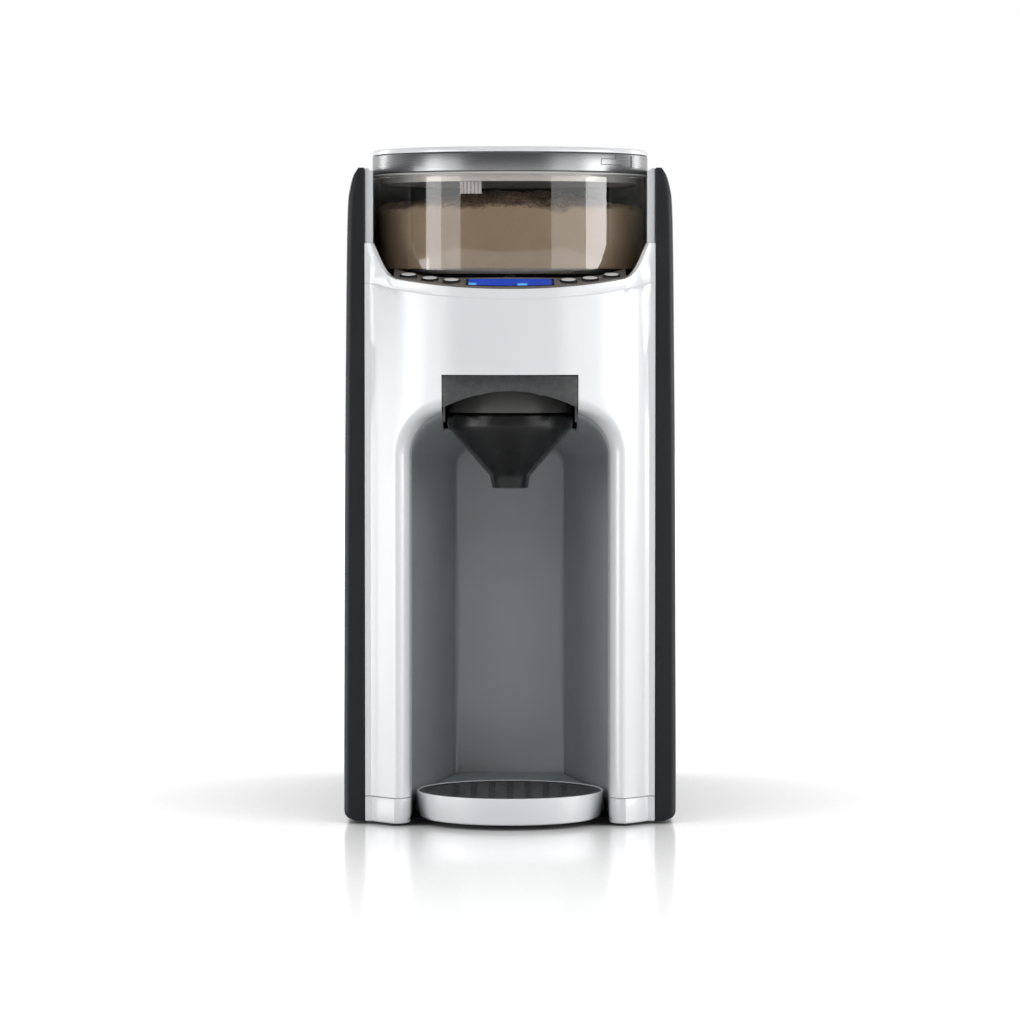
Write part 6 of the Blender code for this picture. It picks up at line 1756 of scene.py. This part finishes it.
@dataclass
class FunnelDrawer:
    """Dark cover that slides out of the front, with the smoky funnel in it."""

    wall: float = 1.6 * MM
    edge_z: float = 205.9 * MM
    rise: float = 8.2 * MM
    step_shares: Flat = (0.38, 0.46)
    step_drop: float = 0.35 * MM
    ear_z: float = 199.0 * MM
    ear_length: float = 10.0 * MM
    ear_root: float = 6.0 * MM
    setback: float = 0.2 * MM
    chute_hole: float = 9.5 * MM
    nozzle: Flat = (17.0 * MM, -98.5 * MM)
    nozzle_radius: float = 5.0 * MM
    radius: float = 31.0 * MM
    rim_z: float = 203.2 * MM
    cone_z: float = 195.4 * MM
    collar_z: float = 210.0 * MM
    spout: float = 8.3 * MM
    spout_wall: float = 1.6 * MM
    spout_z: float = 171.6 * MM
    guide: tuple[tuple[float, float, float], ...] = (
        (4.4 * MM, 176.0 * MM, 0.2 * MM), (6.4 * MM, 176.0 * MM, 0.4 * MM), (6.0 * MM, 182.5 * MM, 2.4 * MM),
        (3.0 * MM, 184.6 * MM, 0.6 * MM),
    )

    def lower_edge(self, x: float, y: float) -> float:
        """Height of the cover's lower edge, arched in front with a fine step on each side.

        Args:
            x: Place across.
            y: Place in depth.

        Returns:
            The height.
        """
        if y > PLAN.outlet_y:
            return self.edge_z
        share = abs(x) / PLAN.cover_half
        rise = self.rise * max(0.0, 1 - share ** 2)
        low, high = self.step_shares
        return self.edge_z + rise - self.step_drop * (low < share < high)

    def cover(self) -> None:
        """Builds the cover with its ears and holes."""
        steps = 48
        half = PLAN.cover_half
        xs = [half * (2 * k / steps - 1) for k in range(steps + 1)]
        outline = [(x, PLAN.face_y(x) + self.setback) for x in xs]
        outline += rounded([
            (half, PLAN.outlet_y, 0.0), (half, PLAN.cover_back_y, 2.0 * MM),
            (-half, PLAN.cover_back_y, 2.0 * MM), (-half, PLAN.outlet_y, 0.0),
        ])
        top = PLAN.cover_top
        edge = 0.5 * MM
        form = stack(outline, (
            (edge, top), (edge / 4, top - edge / 4), (0.0, top - edge),
            (0.0, lambda x, y: self.lower_edge(x, y) + edge),
            (edge / 3, lambda x, y: self.lower_edge(x, y) + edge / 4), (edge, self.lower_edge),
            (self.wall, self.lower_edge), (self.wall, top - self.wall),
        ))
        cover = fresh("cover_funnel", form, Palette.HOUSING, crease=40.0)
        ears = []
        for side in Side:
            low_x, high_x = sorted(side.value * x for x in (half - PLAN.gap, half - self.wall + PLAN.gap))
            front = PLAN.face_y(half) + PLAN.wall
            ear_top = self.edge_z + self.ear_root
            ears.append(block((low_x, front, self.ear_z), (high_x, front + self.ear_length, ear_top)))
        carve(cover, merged(ears), "UNION")
        foot, head = top - PLAN.fillet, top + PLAN.fillet
        carve(cover, merged([
            rod(self.chute_hole, foot, head, (0.0, PLAN.outlet_y), 40),
            rod(self.nozzle_radius, foot, head, self.nozzle, 32),
        ]))
        enlist(cover, "drawer", "dark_housing", "funnel_cover")

    def funnel(self) -> None:
        """Builds the funnel: bowl, cone and spout, with the lighter collar on its rim."""
        low, high = (corner.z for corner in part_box("funnel"))
        r, inner, rim = self.radius, self.radius - self.wall, self.rim_z
        profile = rounded([
            (r - 0.6 * MM, rim, 0.5 * MM), (r, rim - 1.2 * MM, 1.5 * MM), (r, self.cone_z, 6.0 * MM),
            (self.spout + self.spout_wall, self.spout_z, 3.0 * MM),
            (self.spout + self.spout_wall - 1.0 * MM, low, 0.4 * MM), (self.spout - 1.0 * MM, low, 0.4 * MM),
            (self.spout, self.spout_z + 0.8 * MM, 3.0 * MM), (inner, self.cone_z + 1.0 * MM, 5.0 * MM),
            (inner, rim, 0.3 * MM),
        ], closed=True, steps=7)
        axis = (0.0, PLAN.outlet_y)
        home = ("funnel_body", "smoke_funnel", "funnel")
        piece("funnel_bowl", turned(profile, axis, 112, cyclic=True), Palette.FUNNEL, home, crease=50.0)
        foot = rim + 0.1 * MM
        profile = rounded([
            (inner, foot, 0.2 * MM), (r - 0.5 * MM, foot, 0.3 * MM), (r - 1.3 * MM, self.collar_z, 0.5 * MM),
            (inner, high, 0.2 * MM), (r - 3.0 * MM, high, 0.3 * MM), (r - 3.0 * MM, foot, 0.2 * MM),
        ], closed=True, steps=3)
        piece("funnel_collar", turned(profile, axis, 112, cyclic=True), Palette.COLLAR, home[:2])
        tube = rounded(self.guide, closed=True)
        piece("funnel_guide", turned(tube, axis, 64, cyclic=True), Palette.COLLAR, home[:2])
        dress(Palette.GEAR, "spray_nozzle")

    def build(self) -> None:
        """Builds the drawer."""
        self.cover()
        self.funnel()


@dataclass
class DripTray:
    """White tray on its grey carrier, with the dark grille of ribbed slots."""

    rim: float = 1.3 * MM
    flush: float = 0.25 * MM
    ledge: float = 2.0 * MM
    ledge_drop: float = 3.2 * MM
    slot_half: float = 1.8 * MM
    pitch: float = 9.0 * MM
    slots_per_side: int = 3
    margin: float = 5.0 * MM
    row_pitch: float = 4.2 * MM
    row_half: float = 1.45 * MM
    carrier_z: float = 12.5 * MM
    carrier_gap: float = 1.1 * MM
    carrier_wall: float = 1.8 * MM
    carrier_angle: float = 12.0

    @property
    def axis(self) -> Flat:
        """The tray's centre line."""
        return (0.0, PLAN.outlet_y)

    def tray(self) -> None:
        """Builds the white tray."""
        low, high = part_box("bottle_tray")
        r = high.x
        inner = r - self.rim
        ledge_z = high.z - self.ledge_drop
        profile = rounded([
            (0.0, low.z, 0.0), (r - 1.6 * MM, low.z, 1.2 * MM),
            (r, high.z, 0.5 * MM), (inner, high.z, 0.4 * MM), (inner, ledge_z, 0.3 * MM),
            (inner - self.ledge, ledge_z, 0.4 * MM), (inner - self.ledge, low.z + PLAN.wall, 1.5 * MM),
            (0.0, low.z + PLAN.wall, 0.0),
        ], steps=5)
        home = ("tray", "white_shell", "bottle_tray")
        piece("tray_white", turned(profile, self.axis, 144), Palette.WHITE, home, crease=45.0)

    def grille(self) -> None:
        """Builds the grille with ribbed slots and a raised border."""
        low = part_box("drip_grille")[0]
        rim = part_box("bottle_tray")[1]
        r, top = rim.x - self.rim - PLAN.gap, rim.z - self.flush
        profile = rounded([
            (0.0, low.z, 0.0), (r, low.z, 0.3 * MM), (r, top, 0.4 * MM), (r - 2.2 * MM, top, 0.3 * MM),
            (r - 2.8 * MM, top - 0.4 * MM, 0.3 * MM), (0.0, top - 0.4 * MM, 0.0),
        ], steps=3)
        grille = fresh("grille_slotted", turned(profile, self.axis, 128), Palette.GRILLE)
        tools = []
        for number in range(-self.slots_per_side, self.slots_per_side + 1):
            x = number * self.pitch
            reach = math.sqrt((r - self.margin) ** 2 - x ** 2)
            rows = int(reach / self.row_pitch)
            for row in range(-rows, rows + 1):
                y = PLAN.outlet_y + row * self.row_pitch
                low_x, high_x = x - self.slot_half, x + self.slot_half
                cell = rectangle((low_x, y - self.row_half), (high_x, y + self.row_half), (0.5 * MM,), 2)
                tools.append(skin([level(cell, low.z - PLAN.fillet), level(cell, top + PLAN.fillet)]))
        carve(grille, merged(tools))
        soften(grille, 0.2 * MM)
        enlist(grille, "grille", "grille_dark", "drip_grille")

    def carrier(self) -> None:
        """Builds the tongue behind the tray."""
        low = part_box("tray_carrier")[0]
        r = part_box("bottle_tray")[1].x + PLAN.gap
        gap, angle = self.carrier_gap, self.carrier_angle
        back = BottleBay.back_y - gap
        outline = arc(self.axis, r, 180.0 - angle, angle, 44)
        outline += [
            (BottleBay.mid_half - gap, BottleBay.mid_y), (BottleBay.back_half - gap, back),
            (-BottleBay.back_half + gap, back), (-BottleBay.mid_half + gap, BottleBay.mid_y),
        ]
        tongue = cup(outline, self.carrier_wall, self.carrier_z, low.z, 0.7 * MM)
        piece("carrier_grey", tongue, Palette.LINER, ("tray", "bay_grey", "tray_carrier"), crease=45.0)

    def build(self) -> None:
        """Builds the tray, the grille and the carrier."""
        self.tray()
        self.grille()
        self.carrier()


@dataclass
class WaterTank:
    """Smoky tank at the back with its hinged lid."""

    half: float = 75.0 * MM
    corner: float = 18.0 * MM
    front_y: float = 84.0 * MM
    front_corner: float = 5.0 * MM
    bottom_z: float = 38.3 * MM
    top_z: float = 285.0 * MM
    hinge: Flat = (89.5 * MM, 286.65 * MM)
    lid_margin: float = 3.0 * MM
    lid_thickness: float = 2.7 * MM
    valve_y: float = 113.0 * MM
    ear_half: float = 4.0 * MM
    ear_root: float = 6.0 * MM
    ear_rise: float = 5.0 * MM
    ear_wall: float = 1.9 * MM
    spigot: Flat = (4.0 * MM, 6.0 * MM)
    spigot_rise: float = 1.1 * MM
    bore: float = 2.6 * MM
    bars: int = 9
    scale_x: float = -50.0 * MM
    scale_z: float = 60.0 * MM
    bar_pitch: float = 24.0 * MM
    bar_lengths: Flat = (11.0 * MM, 6.0 * MM)
    bar_height: float = 0.8 * MM
    bar_round: float = 0.3 * MM
    bar_rise: float = 0.25 * MM
    scoop: tuple[Flat, Flat] = ((-14.0 * MM, 131.0 * MM), (14.0 * MM, 139.4 * MM))
    pin_half: float = 2.6 * MM

    def tank(self) -> None:
        """Builds the tank with its ears, its spigot and the bars of its scale."""
        skin_y = PLAN.rear_y - self.bar_rise
        centre = (self.half - self.front_corner, self.front_y + self.front_corner)
        right = arc(centre, self.front_corner, -90.0, 0.0, 6)
        right += PLAN.rear_corner(self.half, skin_y, self.corner, 14)
        form = cup(mirrored(right), PLAN.wall, self.bottom_z, self.top_z, 2.0 * MM, 0.6 * MM)
        tank = fresh("tank_smoky", form, Palette.TANK, crease=45.0)
        ears = []
        y, half = self.hinge[0], self.ear_half
        low, high = (y - half, self.top_z - self.ear_root), (y + half, self.top_z + self.ear_rise)
        outline = rectangle(low, high, (0.0, 0.0, 2.5 * MM, 2.5 * MM), 6)
        for side in Side:
            ends = sorted(side.value * x for x in (self.half, self.half - self.ear_wall))
            ears.append(upright(outline, Axis.X, [(x, 0.0) for x in ends]))
        carve(tank, merged(ears), "UNION")
        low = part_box("water_tank")[0].z
        (inner, outer), head = self.spigot, self.bottom_z + self.spigot_rise
        axis = (0.0, self.valve_y)
        spigot = rectangle((inner, low), (outer, head), (0.0,))
        carve(tank, turned(spigot, axis, 40, cyclic=True), "UNION")
        carve(tank, rod(self.bore, low, self.bottom_z + PLAN.fillet, axis, 40))
        enlist(tank, "tank", "smoke_clear", "water_tank")
        bars = []
        x, thick, edge = self.scale_x, self.bar_height, self.bar_round
        for number in range(self.bars):
            end = x + self.bar_lengths[number % 2]
            z = self.scale_z + self.bar_pitch * number
            outline = rectangle((x, z), (end, z + thick), (edge,), 3)
            bars.append(upright(outline, Axis.Y, ((skin_y, 0.0), (PLAN.rear_y, 0.0))))
        piece("tank_scale", merged(bars), Palette.SEAL, ("tank", "smoke_clear"))

    def lid(self) -> None:
        """Builds the lid with its border, its finger rest and its hinge pins."""
        half = self.half - self.lid_margin
        corner = self.corner - self.lid_margin
        y, z = self.hinge
        low = self.top_z + PLAN.gap
        high = low + self.lid_thickness
        right = [(half, y - 1.35 * MM)] + PLAN.rear_corner(half, PLAN.rear_y - self.lid_margin, corner, 12)
        form = stack(mirrored(right), (
            (0.3 * MM, low), (0.0, low + 0.3 * MM), (0.0, high - 0.6 * MM), (0.2 * MM, high - 0.2 * MM),
            (0.6 * MM, high), (3.0 * MM, high), (3.8 * MM, high - 0.7 * MM), (8.0 * MM, high - 0.7 * MM),
        ))
        lid = fresh("lid_tank", form, Palette.CHARCOAL, crease=35.0)
        scoop = rectangle(*self.scoop, (4.0 * MM,), 8)
        pairs = zip(scoop, scoop[1:] + scoop[:1])
        outline = [point for point, after in pairs if math.dist(point, after) > 1e-6]
        carve(lid, skin([level(shrunk(outline, 0.8 * MM), high - 1.7 * MM), level(outline, high + 2 * MM)]))
        enlist(lid, "tank_flap", "charcoal_panel", "tank_lid")
        for side in Side:
            low_x, high_x = sorted(side.value * x for x in (half - self.pin_half, half + self.pin_half))
            rings = ((low_x, 0.7), (low_x + 0.3 * MM, 1.0), (high_x - 0.3 * MM, 1.0), (high_x, 0.7))
            pin = skin([standing(arc((y, z), r * MM, 0.0, 345.0, 23), Axis.X, x) for x, r in rings])
            piece(f"pin_{side.name.lower()}", pin, Palette.CHARCOAL, ("tank_flap", "charcoal_panel"))

    def build(self) -> None:
        """Builds the tank and its lid and dresses the valve."""
        self.tank()
        self.lid()
        dress(Palette.RUBBER, "tank_valve")
        dress(Palette.STEEL, "valve_spring")


@dataclass
class Works:
    """What works inside: finishes for the decks, boards, pump and hoses."""

    def build(self) -> None:
        """Dresses the inner nodes."""
        dress(Palette.HOUSING, "gear_plate", "hopper_deck", "water_pump")
        dress(Palette.BOARD, "power_board")
        dress(Palette.HOSE, "tank_hose", "pump_hose", "heater_hose")


@dataclass
class Lamp:
    """One soft lamp that looks at the machine."""

    name: str
    azimuth: float
    elevation: float
    distance: float
    width: float
    height: float
    radiance: float
    mirrored: bool = True
    target: tuple[float, float, float] = (0.0, -0.05, 0.17)

    def build(self) -> None:
        """Adds the lamp."""
        light = bpy.data.lights.new(self.name, "AREA")
        light.shape = "RECTANGLE"
        light.size = self.width
        light.size_y = self.height
        light.energy = self.radiance * self.width * self.height * math.pi
        thing = bpy.data.objects.new(self.name, light)
        turn, lift = math.radians(self.azimuth), math.radians(self.elevation)
        out = Vector((math.sin(turn) * math.cos(lift), -math.cos(turn) * math.cos(lift), math.sin(lift)))
        thing.location = Vector(self.target) + out * self.distance
        thing.rotation_euler = out.to_track_quat("Z", "Y").to_euler()
        thing.visible_glossy = self.mirrored
        bpy.context.scene.collection.objects.link(thing)
        LOG.info("lamp %s", self.name)


@dataclass
class Studio:
    """Pale floor, soft lamps, white surroundings and the camera."""

    lens: float = 158.5
    sensor: float = 36.0
    eye: tuple[float, float, float] = (0.0, -2.322, 0.2486)
    pitch: float = 2.42
    ambient: float = 0.2
    mirrored_low: float = 0.08
    mirrored_span: float = 0.8
    floor_half: float = 6.0
    lamps: tuple[Lamp, ...] = (
        Lamp("soft_right", 62.0, 2.0, 1.1, 1.2, 0.6, 2.0),
        Lamp("core_right", 77.0, 6.0, 1.06, 0.5, 0.3, 5.2),
        Lamp("soft_left", -56.0, 0.0, 1.1, 0.63, 0.6, 2.4),
        Lamp("core_left", -64.0, 2.0, 1.06, 0.26, 0.5, 2.8),
        Lamp("low_left", -84.0, -4.2, 1.1, 0.6, 0.28, 3.6),
        Lamp("bay_fill", 0.0, -2.5, 1.25, 0.9, 0.34, 2.7, mirrored=False),
        Lamp("rim_right", 128.0, 4.0, 1.0, 0.1, 0.9, 8.0),
        Lamp("rim_left", -128.0, 4.0, 1.0, 0.1, 0.9, 8.0),
        Lamp("top_soft", 0.0, 74.0, 1.3, 1.2, 0.9, 0.9),
        Lamp("front_fill", 0.0, 24.0, 1.9, 1.7, 0.6, 1.6, mirrored=False),
    )

    def world(self) -> None:
        """Makes the surroundings: white to the eye and in glass, softer as a light."""
        world = bpy.data.worlds.new("studio")
        world.use_nodes = True
        tree = Tree(world.node_tree)
        back = world.node_tree.nodes["Background"]
        path = tree.add("LightPath").outputs
        where = tree.add("SeparateXYZ", {0: tree.add("TexCoord").outputs["Generated"]}).outputs
        behind = tree.ramp(where[1], 0.0, 0.5)
        ambient = tree.math("ADD", tree.math("MULTIPLY", where[2], 0.1), self.ambient)
        mirrored_part = tree.math("ADD", tree.math("MULTIPLY", behind, self.mirrored_span), self.mirrored_low)
        glossy = tree.add("Mix", {0: path["Is Glossy Ray"], 2: ambient, 3: mirrored_part}).outputs[0]
        strength = tree.math("MAXIMUM", path["Is Camera Ray"], glossy)
        tree.feed(back, {"Color": (1.0, 1.0, 1.0, 1.0), "Strength": strength})
        bpy.context.scene.world = world

    def floor(self) -> None:
        """Makes the floor."""
        half = self.floor_half
        form = bmesh.new()
        corners = level(rectangle((-half, -half), (half, half), (0.0,)), 0.0)
        form.faces.new([form.verts.new(corner) for corner in corners])
        fresh("studio_ground", form, Ground("studio_floor"))

    def camera(self) -> None:
        """Places the camera where the photograph was taken from."""
        camera = bpy.data.cameras.new("eye")
        camera.lens = self.lens
        camera.sensor_width = self.sensor
        camera.clip_start = 0.05
        camera.clip_end = 50.0
        thing = bpy.data.objects.new("eye", camera)
        thing.location = self.eye
        thing.rotation_euler = (math.radians(90.0 - self.pitch), 0.0, 0.0)
        bpy.context.scene.collection.objects.link(thing)
        bpy.context.scene.camera = thing

    def build(self) -> None:
        """Sets up the whole studio."""
        bpy.context.scene.view_settings.view_transform = "Standard"
        self.world()
        self.floor()
        for lamp in self.lamps:
            lamp.build()
        self.camera()


def main() -> None:
    """Builds every sub-assembly in order."""
    logging.basicConfig(level=logging.INFO, format="%(name)s: %(message)s")
    for assembly in (
        Studio(), FrontShell(), BottleBay(), Flanks(), Base(), ControlDeck(), PowderHopper(), TopCover(),
        FunnelDrawer(), DripTray(), WaterTank(), Works(),
    ):
        LOG.info("building %s", type(assembly).__name__)
        assembly.build()


if __name__ == "__main__":
    main()
